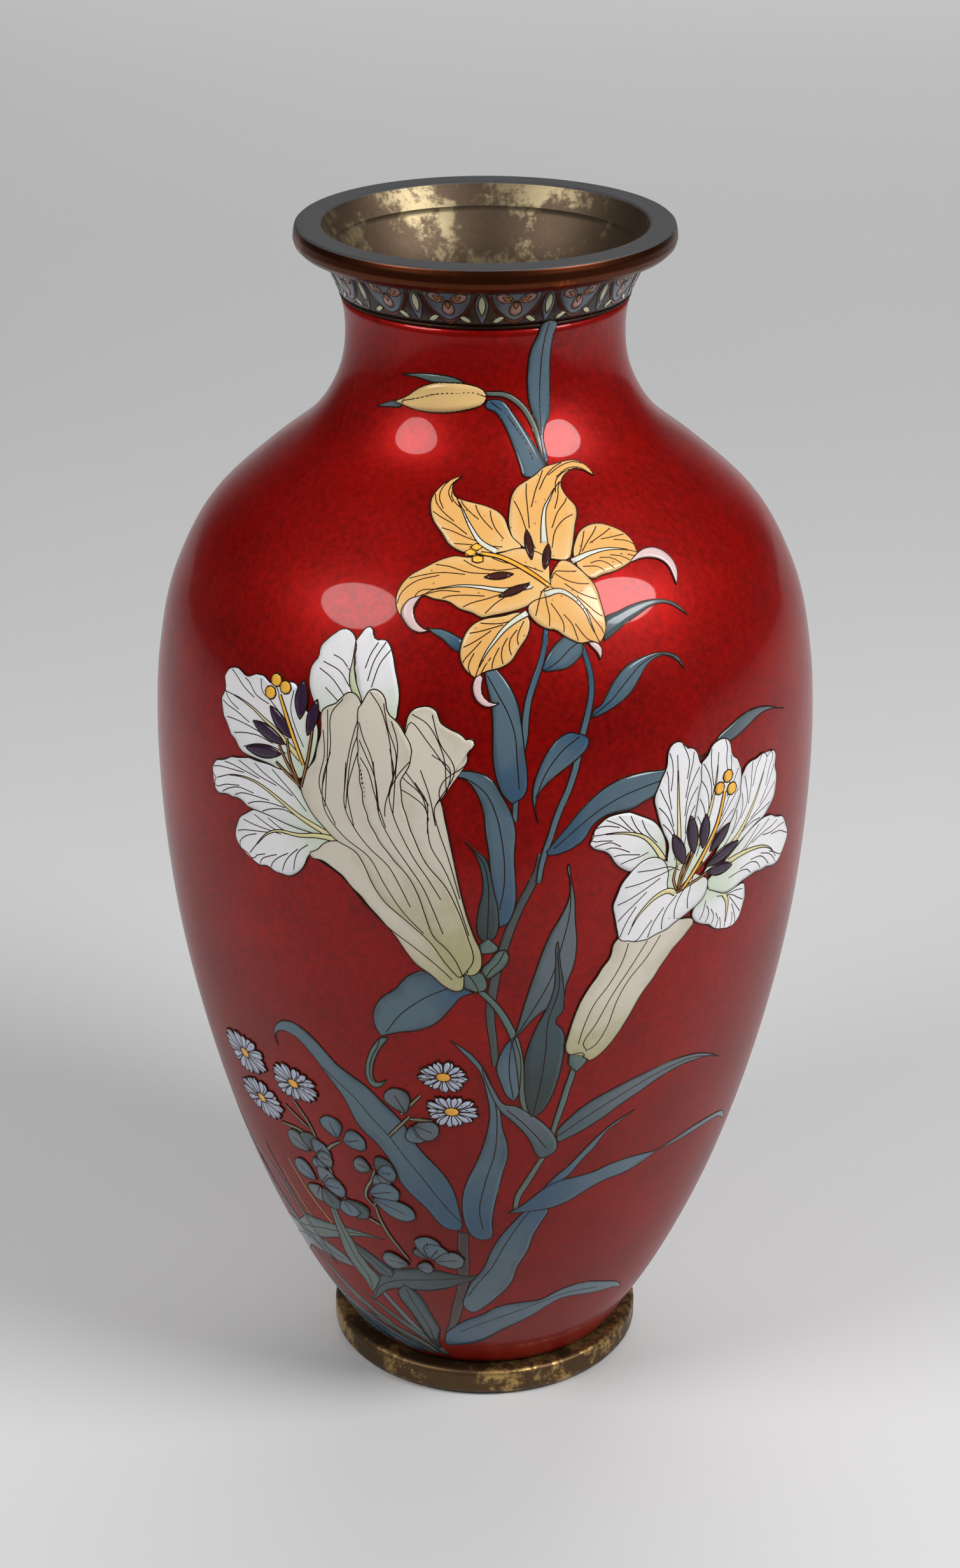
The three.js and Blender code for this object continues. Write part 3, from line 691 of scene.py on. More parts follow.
def lay_cells():
    """Makes every gathered cell and wire into its piece."""
    for (name, node, finish), parts in LAYERS.cells.items():
        points, faces = joined(parts)
        uv = np.concatenate([part[2] for part in parts])
        piece = make_piece(name + "_enamel", points, faces, [finish], uv=uv)
        if node:
            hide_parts(node)
    for group, parts in LAYERS.wires.items():
        points, faces = joined(parts)
        piece = make_piece(f"wires_{group}", points, faces, ["wire"], smooth=False)


# ---------------------------------------------------------------- body, rings and border
def wall_profile(low, high, lift, rows):
    """(radius, height) of `rows` points up the wall between two heights, at a lift or a list of lifts."""
    point = on_wall(0, np.linspace(up_at(low), up_at(high), rows), lift)
    return np.stack([-point[:, 1], point[:, 2]], axis=1)


def coat(node, finish, lift, depth, rows):
    """A closed coat that takes a CAD coat's place on the wall and spans its heights."""
    low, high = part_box(node)[0][2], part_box(node)[1][2]
    face = wall_profile(low, high, lift, rows)
    back = wall_profile(low, high, np.min(lift) - depth, rows)[::-1]
    piece = turned(node + "_coat", np.concatenate([face, back]), [finish], ROUND)
    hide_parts(node)


def section(node):
    """The outline of a CAD ring where it is cut through, with a point close to every corner."""
    points = cad_points(node)
    front = points[(np.abs(points[:, 0]) < 1e-5) & (points[:, 1] < 0)][:, 1:]
    corners = np.unique(np.round(front * [-1, 1], 6), axis=0)
    away = corners - corners.mean(axis=0)
    corners = corners[np.argsort(-np.arctan2(away[:, 1], away[:, 0]))]
    near = 0.25 * MM
    outline = []
    for corner, following in zip(corners, np.roll(corners, -1, axis=0)):
        edge = following - corner
        long = np.linalg.norm(edge)
        outline.append(corner)
        if long > 3 * near:
            outline += [corner + edge * near / long, following - edge * near / long]
    return np.array(outline)[::-1]


def make_vessel():
    """The copper body, its coat of red glass, its two rings, and the enamel under it."""
    coat("red_ground", "red", 0.0, 1.0 * MM, 170)
    coat("neck_border", "border", 0.0, 1.0 * MM, 16)
    bead = np.array([-0.1, 0.06, 0.12, 0.06, -0.1]) * MM
    coat("border_wire", "wire", bead, 0.8 * MM, 5)

    points = cad_points("copper_body")
    front = points[(np.abs(points[:, 0]) < 1e-5) & (points[:, 1] < 0)]
    gauge = np.ptp(-front[np.abs(front[:, 2] - front[:, 2].max()) < 1e-5, 1])
    low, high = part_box("copper_body")[0][2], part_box("copper_body")[1][2]
    outside = wall_profile(low, high, SETBACK - COAT, 160)
    inside = wall_profile(low + gauge, high, SETBACK - COAT - gauge, 160)[::-1]
    profile = np.concatenate([[(0, low)], outside, inside, [(0, inside[-1, 1])]])
    piece = turned("copper_inside", profile, ["inside"])
    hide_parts("copper_body")

    outline = section("mouth_rim")
    middle = (outline + np.roll(outline, -1, axis=0)) / 2
    top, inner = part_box("mouth_rim")[1][2] - 0.3 * MM, outline[:, 0].min() + 2.7 * MM
    which = np.where(middle[:, 1] > top, 1, np.where(middle[:, 0] < inner, 2, 0))
    piece = turned("rim_ring", outline, ["rim", "rim_top", "inside"], finish_at=which)
    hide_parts("mouth_rim")
    piece = turned("foot_ring_brass", section("foot_ring"), ["foot"])
    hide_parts("foot_ring")
    low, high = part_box("underside_enamel")[0][2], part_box("underside_enamel")[1][2]
    radius, round_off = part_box("underside_enamel")[1][0], 0.6 * MM
    disc = [(0, low), (radius - round_off, low), (radius, low + round_off), (radius, high), (0, high)]
    piece = turned("underside_disc", disc, ["under"])
    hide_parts("underside_enamel")


FANS = 15
FIRST_FAN = 10.7


def border_fan(turn):
    """One repeat of the border: a pink palmette in a blue fan, and the pointed oval beside it."""
    def both(points):
        left = [(turn - x, up) for x, up in points]
        return left, [(turn + x, up) for x, up in points]

    begin("border", 0)
    band = [(0, 251.3), (3.4, 252.2), (6.8, 254.0), (9.2, 256.4), (10.2, 259.1)]
    cell("fan_band", None, "rust", *both(band))
    cell("fan", None, "blue_grey", *both([(0, 252.1), (2.8, 252.8), (5.9, 254.4), (8, 256.5), (8.9, 259.1)]))
    for side in (-1, 1):
        root, tip = (turn + side * 0.8, 256.6), (turn + side * 7, 258.3)
        lens("fan_petals", None, "rose", root, tip, 1.15, 1.3, 0.5)
        lens("fan_drops", None, "amber", (turn + side * 1.6, 256.8), (turn + side * 5, 257.9), 0.5, 1.2, 0.5)
    lens("fan_petals", None, "rose", (turn, 257), (turn, 253.2), 1.25, 1.5, 0.5)
    lens("fan_drops", None, "amber", (turn, 256.8), (turn, 254.8), 0.55, 1.5, 0.5)
    middle = turn + 180 / FANS
    lens("border_lenses", None, "blue_grey", (middle, 251.2), (middle, 259.1), 1.3, 1.2)
    lens("border_lens_hearts", None, "cream", (middle, 253.2), (middle, 258.4), 0.75, 1.1)
    for side in (-1, 1):
        root, tip = (middle + side * 3.6, 251.9), (middle + side * 8.4, 252.9)
        lens("border_moons", None, "cream", root, tip, 0.6, 1.0, 0.5)


def daisy(node, turn, up, half_width, half_height, petals=22):
    """Narrow petals set round an amber disc, every other one a layer lower than its neighbours."""
    layer = LAYERS.count
    width = half_width * degree_width(up)
    for k in list(range(0, petals, 2)) + list(range(1, petals, 2)):
        angle = 2 * math.pi * (k + 0.25 * math.sin(3.7 * k + turn)) / petals
        reach = 0.95 + 0.06 * math.sin(5.3 * k + up)
        x, y = math.cos(angle) * half_width, math.sin(angle) * half_height
        LAYERS.count = layer + k % 2
        half = 2.5 * math.hypot(width * math.sin(angle), half_height * math.cos(angle)) / petals + 0.1
        root, tip = (turn + 0.12 * x, up + 0.12 * y), (turn + reach * x, up + reach * y)
        lens(node, node, "daisy", root, tip, half, 1.9, 0.55)
    LAYERS.count = layer + 2
    oval(node + "_disc", None, "disc", (turn, up), 1.5, 1.1)


def small_leaf(name, finish, hub, tip, half_width):
    """A blunt little leaf on a short stalk from the hub of its spray, with a wire down its middle."""
    root = (hub[0] + 0.15 * (tip[0] - hub[0]), hub[1] + 0.15 * (tip[1] - hub[1]))
    near = (root[0] + 0.75 * (tip[0] - root[0]), root[1] + 0.75 * (tip[1] - root[1]))
    lens(name, None, finish, root, tip, half_width, 1.5, 0.55, ribs=[[root, near]])


def fan_of(name, finish, width, root, tips):
    """Stalks from one root to several tips, each a little bowed."""
    for k, tip in enumerate(tips):
        bow = (0.5 * (root[0] + tip[0]) + 0.3 * (k - len(tips) / 2), 0.5 * (root[1] + tip[1]))
        stem(f"{name}_{k + 1}", None, finish, width, [root, bow, tip])


def begin(group, layer):
    """Cells from here on have their wires in this group, and are layered up from this one."""
    LAYERS.group = group
    LAYERS.count = layer


# ---------------------------------------------------------------- the picture
place_camera()
light_studio()
FINISHES = make_finishes()
make_vessel()
for k in range(FANS):
    border_fan(FIRST_FAN + 360 / FANS * k)

# Stems and leaves low on the body, from behind to in front.
begin("low_leaves", 0)
stem("stem_lower", "stem_lower", "brown", 2.5,
     [(-5, 51), (-5.2, 45), (-5.5, 38), (-6, 31), (-8, 24), (-10, 17), (-12.5, 12)])
stem("stem_upper", "stem_upper", "bark", 1.9,
     [(9, 145), (8.3, 141), (6.5, 136.5), (4.5, 131), (3.2, 126), (2, 121), (1.3, 116), (0.8, 110),
      (1.3, 104), (1.8, 97.5)])
stem("grass_stalk_1", None, "amber", 0.8,
     [(-48.5, 60), (-45, 52), (-39, 43), (-35, 36)])
stem("grass_stalk_2", None, "amber", 0.8,
     [(-53, 55), (-50, 48), (-48, 43), (-45, 34)])
stem("grass_arc", None, "grey", 1.2,
     [(-84, 43), (-75, 53), (-68, 56.5), (-60, 53), (-55.5, 48), (-55, 44)])
cell("grass_blade_low", None, "dark_green",
     [(-100, -3), (-84, 3.5), (-68, 10.5), (-50, 15)],
     [(-100, -3), (-84, 0.5), (-68, 6.5), (-50, 15)])
cell("grass_blade", "grass_blade", "grey",
     [(-102, 4), (-92, 15), (-84, 22), (-78, 27.5), (-72, 31.5), (-66, 34.5), (-60, 36), (-54, 36.3),
      (-48, 36.2), (-43, 35.2), (-40, 34), (-38, 31)],
     [(-102, 4), (-92, 10), (-84, 16), (-80, 18), (-74, 19.8), (-68, 22.5), (-62, 26), (-57, 29.5),
      (-52, 30), (-47, 30.2), (-42, 30.3), (-38, 31)])
cell("leaf_low_left", "leaf_low_left", "dark_green",
     [(-1.5, 36), (-2, 36.5), (-5, 36), (-8, 36.5), (-12, 37.2), (-17, 37), (-22, 35.8), (-26, 33.8),
      (-29, 31.5), (-32, 28.5), (-34.5, 24), (-36, 20.5), (-36.5, 19.5)],
     [(-1.5, 36), (-2, 35.5), (-6, 33.5), (-10, 31.2), (-14, 29.7), (-19, 28.7), (-24.5, 28), (-29, 26),
      (-33, 22.5), (-36.5, 19.5)])
cell("grass_green", None, "green",
     [(-58, 36), (-58, 36.5), (-54, 39.5), (-50, 42.5), (-46, 43.3), (-40, 44.2), (-35, 45), (-30, 45.2),
      (-24.5, 44.9)],
     [(-58, 36), (-56, 35.5), (-50, 35.8), (-45, 37.5), (-42, 39), (-39.5, 40), (-34.5, 42.5), (-31, 43.8),
      (-24.5, 44.9)])
cell("grass_upright", None, "green",
     [(-35.5, 24), (-36, 27), (-38, 31), (-39.3, 36), (-39, 41), (-38.6, 47), (-38.3, 51.5), (-37.7, 52.5)],
     [(-34, 24), (-30, 30.5), (-32, 33), (-33.5, 37), (-34.5, 41), (-36, 46), (-37, 51.5), (-37.7, 52.5)])
cell("grass_short", None, "dark_green",
     [(-34, 40.5), (-30, 38.5), (-26, 35.5), (-24.5, 34.3), (-26, 31.5)],
     [(-34, 40.5), (-34, 37), (-31, 33.5), (-29, 31.5), (-26, 31.5)])
cell("grass_foot", None, "dark_green",
     [(-18, 4.3), (-19.5, 6.5), (-21.5, 11), (-23, 18), (-25.5, 26), (-22.5, 30)],
     [(-17, 5), (-16.5, 9), (-15, 14), (-16.5, 20), (-19, 27.5), (-22.5, 30)])
stem("bent_leaf_stalk", None, "olive", 1.4,
     [(11.5, 72.5), (10, 69), (8.3, 65), (7, 62), (6.5, 58)])
cell("leaf_low_right", "leaf_low_right", "slate",
     [(-14, 9.8), (-13, 12.5), (-8, 17.5), (-5, 19.5), (-1, 21.5), (4, 24.8), (10, 25.8), (16, 26),
      (20, 28), (25, 29.2), (30, 28.8), (35, 27), (40, 25), (44, 22.8), (46.5, 20)],
     [(-14, 9.8), (-14, 7), (-9, 7.8), (-4, 9), (0, 10.8), (5, 14.5), (10, 17.5), (15, 20.5), (19, 23.5),
      (22, 25), (26, 25), (31, 24), (37, 23), (42, 22.3), (46.5, 20)],
     ribs=[
         [(-8, 14), (0, 18.5), (8, 22), (16, 25), (24, 26.8), (34, 25.5)],
     ])
cell("leaf_bent_upper", None, "slate",
     [(14, 63.6), (12.5, 63.5), (14.5, 66.5), (17, 69), (20, 73), (23.5, 77), (26, 79), (30, 81)],
     [(14, 63.6), (16, 65.2), (17.5, 66.5), (20, 70.5), (22, 73), (24.3, 77), (26.4, 78.6), (30, 81)])
cell("leaf_low_bent", "leaf_low_bent", "slate",
     [(11.5, 60.2), (8.5, 57), (6, 53.5), (3.5, 49.5), (1.5, 45), (0, 40), (-1.5, 37), (-3.5, 34),
      (-5, 30), (-6.2, 26), (-5.8, 24), (-4.5, 23), (-3.5, 22.5)],
     [(11.5, 60.2), (13.8, 57), (12.5, 53), (11, 49), (10.3, 45), (9, 41.5), (8, 39), (7, 34), (5, 30.5),
      (2, 27), (-0.5, 24.5), (-2.5, 23), (-3.5, 22.5)],
     ribs=[
         [(11.5, 60), (8, 54), (4.5, 46.5), (1.5, 39), (-2, 33.5), (-4.5, 29)],
     ])
cell("leaf_long_right", "leaf_long_right", "slate",
     [(5, 56.8), (8, 59), (10, 61), (12.5, 63.5), (15, 65), (19, 65.5), (23, 66), (26, 67), (30, 67.5),
      (34, 67.3), (38, 66.8), (43, 67.7), (48, 68.5), (53, 68.4), (58, 67.5), (62, 65.8), (64.8, 62.5)],
     [(5, 56.8), (10, 57), (14, 57.2), (18, 58.5), (22, 61), (26, 62.8), (31, 63.5), (35, 65), (38, 66.5),
      (43, 66.8), (49, 67.1), (54, 66.9), (59, 66), (64.8, 62.5)])
cell("leaf_mid_right", "leaf_mid_right", "grey",
     [(13.9, 77.8), (14, 79.5), (17, 83.5), (20, 86), (24, 88), (28, 89.5), (32, 90.5), (36, 91.2),
      (40, 91), (44, 90), (48, 88), (51, 86)],
     [(13.9, 77.8), (14.2, 76.3), (16, 77), (19, 78.5), (23, 81), (27, 83.8), (31, 86), (35, 88),
      (39.5, 89), (43.5, 88.8), (47, 88), (51, 86)])
cell("leaf_tiny", None, "slate",
     [(5, 104.5), (3.5, 102.5), (2.3, 99), (2, 96.5), (2.8, 93), (4, 89.5), (5.3, 88.3)],
     [(5, 104.5), (6.2, 99), (6.3, 94), (6, 90), (5.3, 88.3)])
cell("leaf_upright", "leaf_upright", "slate",
     [(-0.8, 48.6), (-2.5, 49.3), (-4, 52), (-4.8, 56), (-4.8, 61), (-3.8, 66), (-2, 71), (-0.5, 76),
      (0.6, 82), (0.8, 86), (0.3, 90), (-1, 96), (-3.5, 100), (-6, 103.5)],
     [(-0.8, 48.6), (1, 49), (1.7, 50.5), (1.5, 54), (2, 59), (2.8, 64), (3.6, 69), (4.4, 73), (4.2, 77),
      (3.3, 81), (2.7, 86), (1.5, 91), (0, 96), (-2.5, 100.3), (-6, 103.5)],
     ribs=[
         [(-0.5, 52), (-1.2, 58), (0, 66), (1.8, 74), (2.2, 80), (1.8, 88), (-0.5, 96)],
     ])
cell("leaf_hooked", "leaf_hooked", "grey",
     [(12.5, 72.7), (14, 74), (14, 76.5), (12.5, 79.8), (10.5, 82.5), (8, 85), (5.5, 87), (3.5, 87.5),
      (1.5, 91.5), (-0.5, 97)],
     [(12.5, 72.7), (11, 72.3), (9.8, 74), (9, 76.5), (7.5, 79.5), (5, 83), (3, 85.5), (2, 87.5),
      (0.5, 92), (-0.5, 96), (-0.5, 97)],
     ribs=[
         [(12, 75), (9.5, 79), (7, 82.5), (4, 86)],
     ])
cell("leaf_arching", "leaf_arching", "slate",
     [(-5.3, 52), (-5.1, 53.5), (-5.2, 55), (-5.8, 59), (-6.5, 63), (-8, 67), (-9.8, 70), (-12, 73),
      (-14, 76.5), (-15.8, 81), (-17.5, 83.5), (-20, 86.5), (-22.5, 89.3), (-25.5, 91.5), (-28, 93.3),
      (-30, 95.7), (-32, 98), (-34.5, 100), (-37, 100.8), (-39.5, 100), (-41.3, 98), (-42, 95.5),
      (-41.5, 93)],
     [(-5.3, 52), (-6, 51.5), (-8.5, 51.7), (-10.5, 53.5), (-12.5, 57), (-15, 60), (-17.5, 63.5),
      (-18.8, 68), (-20, 71), (-22, 74.5), (-24.5, 77), (-26, 80), (-26.8, 83), (-28, 85.8), (-30, 89),
      (-32, 92.3), (-34, 95), (-36, 97), (-38.5, 97.8), (-40.5, 97.3), (-41.8, 95.5), (-41.5, 93)],
     ribs=[
         [(-5.3, 54), (-7.5, 57), (-10, 61), (-13, 66.5), (-16, 71.5), (-19, 77), (-22, 81), (-25, 85.5),
          (-28, 88.5), (-31, 91.5)],
     ])
cell("leaf_small_left", "leaf_small_left", "slate",
     [(-2, 115), (-6, 117.5), (-10, 119.5), (-13, 118), (-15.5, 114.5), (-18, 112), (-19.5, 108.5),
      (-19.5, 105.5), (-18.5, 103)],
     [(-2, 115), (-4, 114), (-6, 111), (-8.5, 107.5), (-11.5, 105.5), (-15, 104.5), (-18.5, 103)],
     ribs=[
         [(-6, 116), (-10, 113.5), (-14.5, 109), (-17.5, 104)],
     ])
cell("leaf_small_curl", None, "green",
     [(-18.8, 102.3), (-20.5, 99.5), (-21.7, 96), (-22.2, 92.5), (-21.5, 90), (-20.5, 89.5), (-19.3, 90.2),
      (-18.2, 92)],
     [(-18.8, 102.3), (-17.2, 102.8), (-19, 99.5), (-20.3, 96), (-20.8, 93), (-20.6, 91.3), (-20, 90.8),
      (-18.2, 92)])
cell("leaf_slim_back", "leaf_slim_back", "grey",
     [(5, 104), (5.8, 108), (6.6, 112), (7.5, 116), (8.5, 120), (9.5, 124), (10.8, 128), (12.2, 131),
      (13.5, 134.5), (13.9, 138), (13.3, 142), (13.6, 142.5)],
     [(5, 104), (9, 109.5), (13.2, 113), (13.7, 116), (14.8, 120), (15.2, 125), (14.8, 130), (14.6, 135),
      (14, 139), (13.6, 142.5)])
cell("leaf_slim_front", "leaf_slim_front", "dark_green",
     [(8.7, 84), (8, 85.5), (7.2, 90), (7, 94), (7, 99), (7.8, 103), (9, 107), (10.5, 111), (11.5, 115),
      (11.7, 120), (11.7, 125.3), (12, 126)],
     [(8.7, 84), (9.5, 84), (10.5, 85), (12, 88), (13.2, 93), (13.8, 98), (14, 102.5), (13.3, 105.5),
      (12.2, 107), (12.3, 108.5), (13.2, 109.5), (13.4, 112.5), (13.2, 116), (12.5, 121), (12, 126)])


# Leaves and stems between the lilies and on the neck.
begin("upper_leaves", 18)
stem("left_lily_stalk", None, "green", 1.5,
     [(-1.5, 116), (1, 113), (3, 109.5), (4.5, 105.5), (5.2, 103.5), (5.8, 100), (6.3, 96), (6.6, 92),
      (7.3, 86), (8, 84.5)])
stem("right_lily_stalk", None, "green", 1.4,
     [(16.3, 98), (15.8, 94), (15, 90), (14.3, 86), (13.5, 82), (13, 79)])
stem("middle_stem_left", None, "slate", 1.3,
     [(11, 189), (10.3, 185), (9, 181), (7.5, 177), (6.7, 173), (6.5, 170), (5, 160), (4.7, 152)])
stem("middle_stem_right", None, "slate", 1.3,
     [(17, 185.8), (18, 181), (18.1, 177), (17.5, 174), (17, 171.5), (16, 168.5), (14.8, 162.5),
      (13.5, 158), (12, 154), (10.8, 150), (10, 146.5), (9.3, 144.5), (8.6, 139)])
cell("leaf_narrow", None, "dark_green",
     [(0.3, 126.6), (-0.8, 127), (-1.4, 129), (-1.2, 133), (-0.4, 138), (-0.7, 142), (-1.7, 145.5),
      (-3.3, 148)],
     [(0.3, 126.6), (1.5, 127.5), (2.1, 129.5), (2.1, 133), (1.6, 137.5), (0.8, 141.5), (0, 144.5),
      (-1.5, 146), (-3.3, 148)])
cell("leaf_drooping", "leaf_drooping", "slate",
     [(2.4, 129.6), (2.5, 130), (3.5, 130.5), (4.5, 133), (4.9, 136), (4.8, 140), (4.6, 145), (4.8, 150),
      (4, 154), (2.5, 157.5), (1, 160.5), (-1, 161.8), (-4, 162.2), (-6.5, 161.3)],
     [(2.4, 129.6), (2.2, 130.5), (2, 134), (1.3, 138), (0.8, 142), (0.5, 146), (0, 150), (-0.3, 154),
      (-1.3, 157.5), (-3, 160.3), (-5, 161), (-6.5, 161.3)],
     ribs=[
         [(2.3, 133.5), (3, 139), (3, 144), (2.5, 149), (1.8, 153), (0.2, 157.5), (-2.5, 160.3),
          (-5.5, 161.3)],
     ])
cell("knot_leaf_left", None, "green",
     [(-1.2, 124), (-1.2, 125.6), (0.5, 127.3)],
     [(-1.2, 124), (1, 124), (2.2, 125), (0.5, 127.3)])
cell("knot_leaf_right", None, "green",
     [(0, 118), (1.5, 119), (3.3, 121), (3.9, 123.3), (3.2, 124.7)],
     [(0, 118), (-0.7, 120.5), (0.5, 122), (2, 124.3), (3.2, 124.7)])
cell("leaf_under_white", "leaf_under_white", "slate",
     [(9.8, 145.5), (10.5, 146.5), (13, 150), (16, 154), (19.5, 157.2), (23, 158.7), (27, 159),
      (31, 158.6), (38, 159.2), (40, 159.8)],
     [(9.8, 145.5), (10, 144.8), (13, 145.2), (16, 147.3), (17.5, 150), (20, 151.7), (24, 152),
      (27, 153.3), (29, 154), (34, 157), (40, 159.8)],
     ribs=[
         [(11, 146), (14, 149), (18, 152.5), (22, 154.8), (26, 156), (30, 156.7)],
     ])
cell("leaf_under_white_tip", "leaf_under_white_tip", "grey",
     [(40.5, 160.2), (42, 162), (45, 163.3), (48, 164.3), (52, 164.4), (56, 163.3), (59, 161.8),
      (61.3, 160.8)],
     [(40.5, 160.2), (44.5, 160.3), (46, 160.5), (49, 161.5), (53, 162.8), (57, 162.5), (61.3, 160.8)])
cell("leaf_centre", "leaf_centre", "slate",
     [(4.2, 155.6), (3.8, 156.2), (2.8, 157.5), (1.7, 161), (1.2, 165), (1.2, 170), (1, 174.5), (0, 181.3),
      (1, 182.5)],
     [(4.2, 155.6), (4.5, 155.9), (5.8, 156.7), (6.5, 158), (6.7, 161.5), (6.3, 166), (5.9, 170.5),
      (5.3, 175), (4, 178.5), (2, 181.5), (1, 182.5)],
     ribs=[
         [(5.4, 158.5), (5.1, 164), (4.8, 169), (3.8, 173), (2, 177), (0.3, 180.5)],
     ])
cell("leaf_folded", "leaf_folded", "slate",
     [(16, 168.3), (17.1, 167.3), (16.5, 165.3), (14.5, 163.3), (12, 161.3), (10, 159.5), (8.6, 157.5),
      (8, 155.5), (8, 153.5), (8.4, 151.5)],
     [(16, 168.3), (15.3, 168.5), (13.8, 168.9), (12, 168), (10, 165.3), (8.5, 162), (7.7, 159),
      (7.6, 156), (8.4, 151.5)],
     ribs=[
         [(15.5, 168), (12.5, 165.5), (9.8, 161.5), (8, 156.5)],
     ])
cell("leaf_tongue", None, "slate",
     [(9.7, 181.5), (10, 182), (11.3, 184.5), (13, 186.3), (15, 187.5), (17.2, 187)],
     [(9.7, 181.5), (10, 181), (12, 181), (14, 181.2), (16, 182.5), (17.2, 184), (17.2, 187)],
     ribs=[
         [(10, 181), (12.5, 182.5), (15, 184.8), (17, 186)],
     ])
cell("leaf_under_yellow", "leaf_under_yellow", "slate",
     [(17.7, 171.5), (17.8, 171.8), (18.3, 172.8), (19.5, 173.5), (20.8, 175.5), (22.5, 178), (25, 180.2),
      (28, 181.2), (31, 181.5), (33.5, 181), (35.5, 179.5), (36.3, 177.3)],
     [(17.7, 171.5), (18, 171.4), (20, 172), (22.5, 173.2), (25, 175), (27, 177.5), (29, 179.8),
      (31.5, 180.8), (34, 180.3), (36.3, 177.3)])
cell("leaf_beside_yellow", "leaf_beside_yellow", "grey",
     [(21.6, 187), (22.4, 189.8), (25, 190.5), (28, 191.3), (32, 191.6), (35.5, 191), (38, 189.5),
      (39.8, 187)],
     [(21.6, 187), (21.5, 185.5), (23, 186.3), (26, 188), (29, 189.3), (32.5, 190.5), (36, 190.2),
      (39.8, 187)])
cell("leaf_left_of_yellow", None, "slate",
     [(-3.8, 187), (-5.5, 188), (-8, 189), (-10.5, 189), (-10.8, 189.3)],
     [(-4.6, 184.8), (-6, 185.5), (-7.5, 187), (-9.5, 188.2), (-10.8, 189.3)])
stem("bud_stalk", None, "olive", 1.1,
     [(0.3, 237.6), (4, 237.7), (8, 237.2), (12, 236), (15, 234.2), (17.5, 231.5), (18.8, 228),
      (19.5, 224)])
cell("leaf_below_bud", "leaf_below_bud", "slate",
     [(0, 235.6), (0, 235), (4, 234), (7, 231.5), (9.5, 227.5), (11, 223.5), (11.5, 221.3), (15, 221)],
     [(0, 235.6), (0.5, 236.2), (4, 236.5), (7, 236), (10, 234), (13, 231.5), (16, 228.5), (18.5, 225),
      (19, 223), (15, 221)],
     ribs=[
         [(2, 236), (7, 234), (11, 231), (14, 228), (15.5, 224.5)],
     ])
cell("leaf_neck", "leaf_neck", "slate",
     [(19.8, 223.4), (19.3, 224), (19.5, 229), (18.8, 232), (17.3, 234.5), (16.6, 238), (16.8, 241.5),
      (18, 245.5), (20.5, 248.5), (22, 251), (25, 251.5)],
     [(19.8, 223.4), (20.3, 224), (20.5, 229), (22, 231), (24, 232.5), (25.3, 235.5), (26, 239.5),
      (26.3, 244), (27, 248), (28, 250.8), (25, 251.5)],
     ribs=[
         [(20, 229), (20.8, 234), (21.8, 240), (23, 246), (24.5, 251)],
     ])
cell("leaf_above_bud", None, "green",
     [(-8, 239.6), (-13, 240.5), (-20, 240.8), (-28, 240.5), (-35, 239.9)],
     [(-8, 239.6), (-20, 239.2), (-27, 239.8), (-35, 239.9)])
cell("bud_tip", None, "grey",
     [(-33, 235.3), (-39, 234.3), (-45, 232.8)],
     [(-33, 235.3), (-33.5, 233.9), (-39, 233.3), (-45, 232.8)])
cell("lily_bud", "lily_bud", "bud",
     [(0.3, 236.7), (0, 237.7), (-2, 238.6), (-7, 239.3), (-14, 239.4), (-21, 239), (-27, 237.7),
      (-32, 235.8), (-37, 234.5)],
     [(0.3, 236.7), (-1, 235.6), (-5, 234.8), (-12, 234), (-20, 233.6), (-27, 233.7), (-33, 234.2),
      (-37, 234.5)],
     ribs=[
         [(0, 237), (-4, 237.7), (-12, 237.5), (-20, 237), (-26, 236), (-33, 235)],
     ])


# The yellow lily.
begin("yellow_lily", 44)
cell("yellow_petal_top", "yellow_petal_top", "yellow",
     [(13, 203), (10.5, 204.5), (8.1, 205.9), (6.2, 207.9), (5.6, 211), (5.8, 212.6), (6.7, 216.1),
      (7.5, 217.6), (9.1, 219.1), (12, 220.3), (15.3, 221.5), (18.2, 222.8), (22.3, 223.3), (26.5, 223.6),
      (29.4, 223.4), (31.8, 222.4), (33.2, 220.8), (33.3, 219.5)],
     [(13, 203), (17.8, 202.3), (19.4, 204.7), (20.5, 206.9), (21.9, 209.6), (23.2, 211.6), (23.7, 213.6),
      (22.75, 215.2), (22, 216.8), (21.9, 218.6), (23.2, 220.2), (25.6, 221.3), (28.5, 221.8),
      (31.6, 220.7), (33.3, 219.5)],
     ribs=[
         [(13.3, 206.2), (13.7, 208.6), (14.3, 211.1), (15.5, 213.9), (17.6, 216.1), (19.4, 217.8),
          (21.7, 219.3)],
     ])
cell("yellow_petal_upper_left", "yellow_petal_upper_left", "yellow",
     [(8.1, 205.6), (2.5, 204.6), (-3.5, 204.4), (-5.4, 204.8), (-8.2, 206.2), (-10.1, 208.4),
      (-12.8, 211.1), (-14.2, 213.6), (-14.6, 216.3), (-12.5, 219.3), (-9.1, 221), (-7.2, 221.5)],
     [(8.1, 205.6), (8.1, 205.9), (6.2, 207.9), (5.4, 209.9), (4.8, 211.9), (3.3, 213.5), (0.4, 214.8),
      (-2.7, 215.5), (-5.4, 216), (-8, 216.7), (-9.1, 217.8), (-9.4, 219.6), (-7.2, 221.5)],
     ribs=[
         [(2.5, 204.8), (-1, 206.8), (-3.5, 210), (-6, 214), (-8.5, 217.5)],
     ])
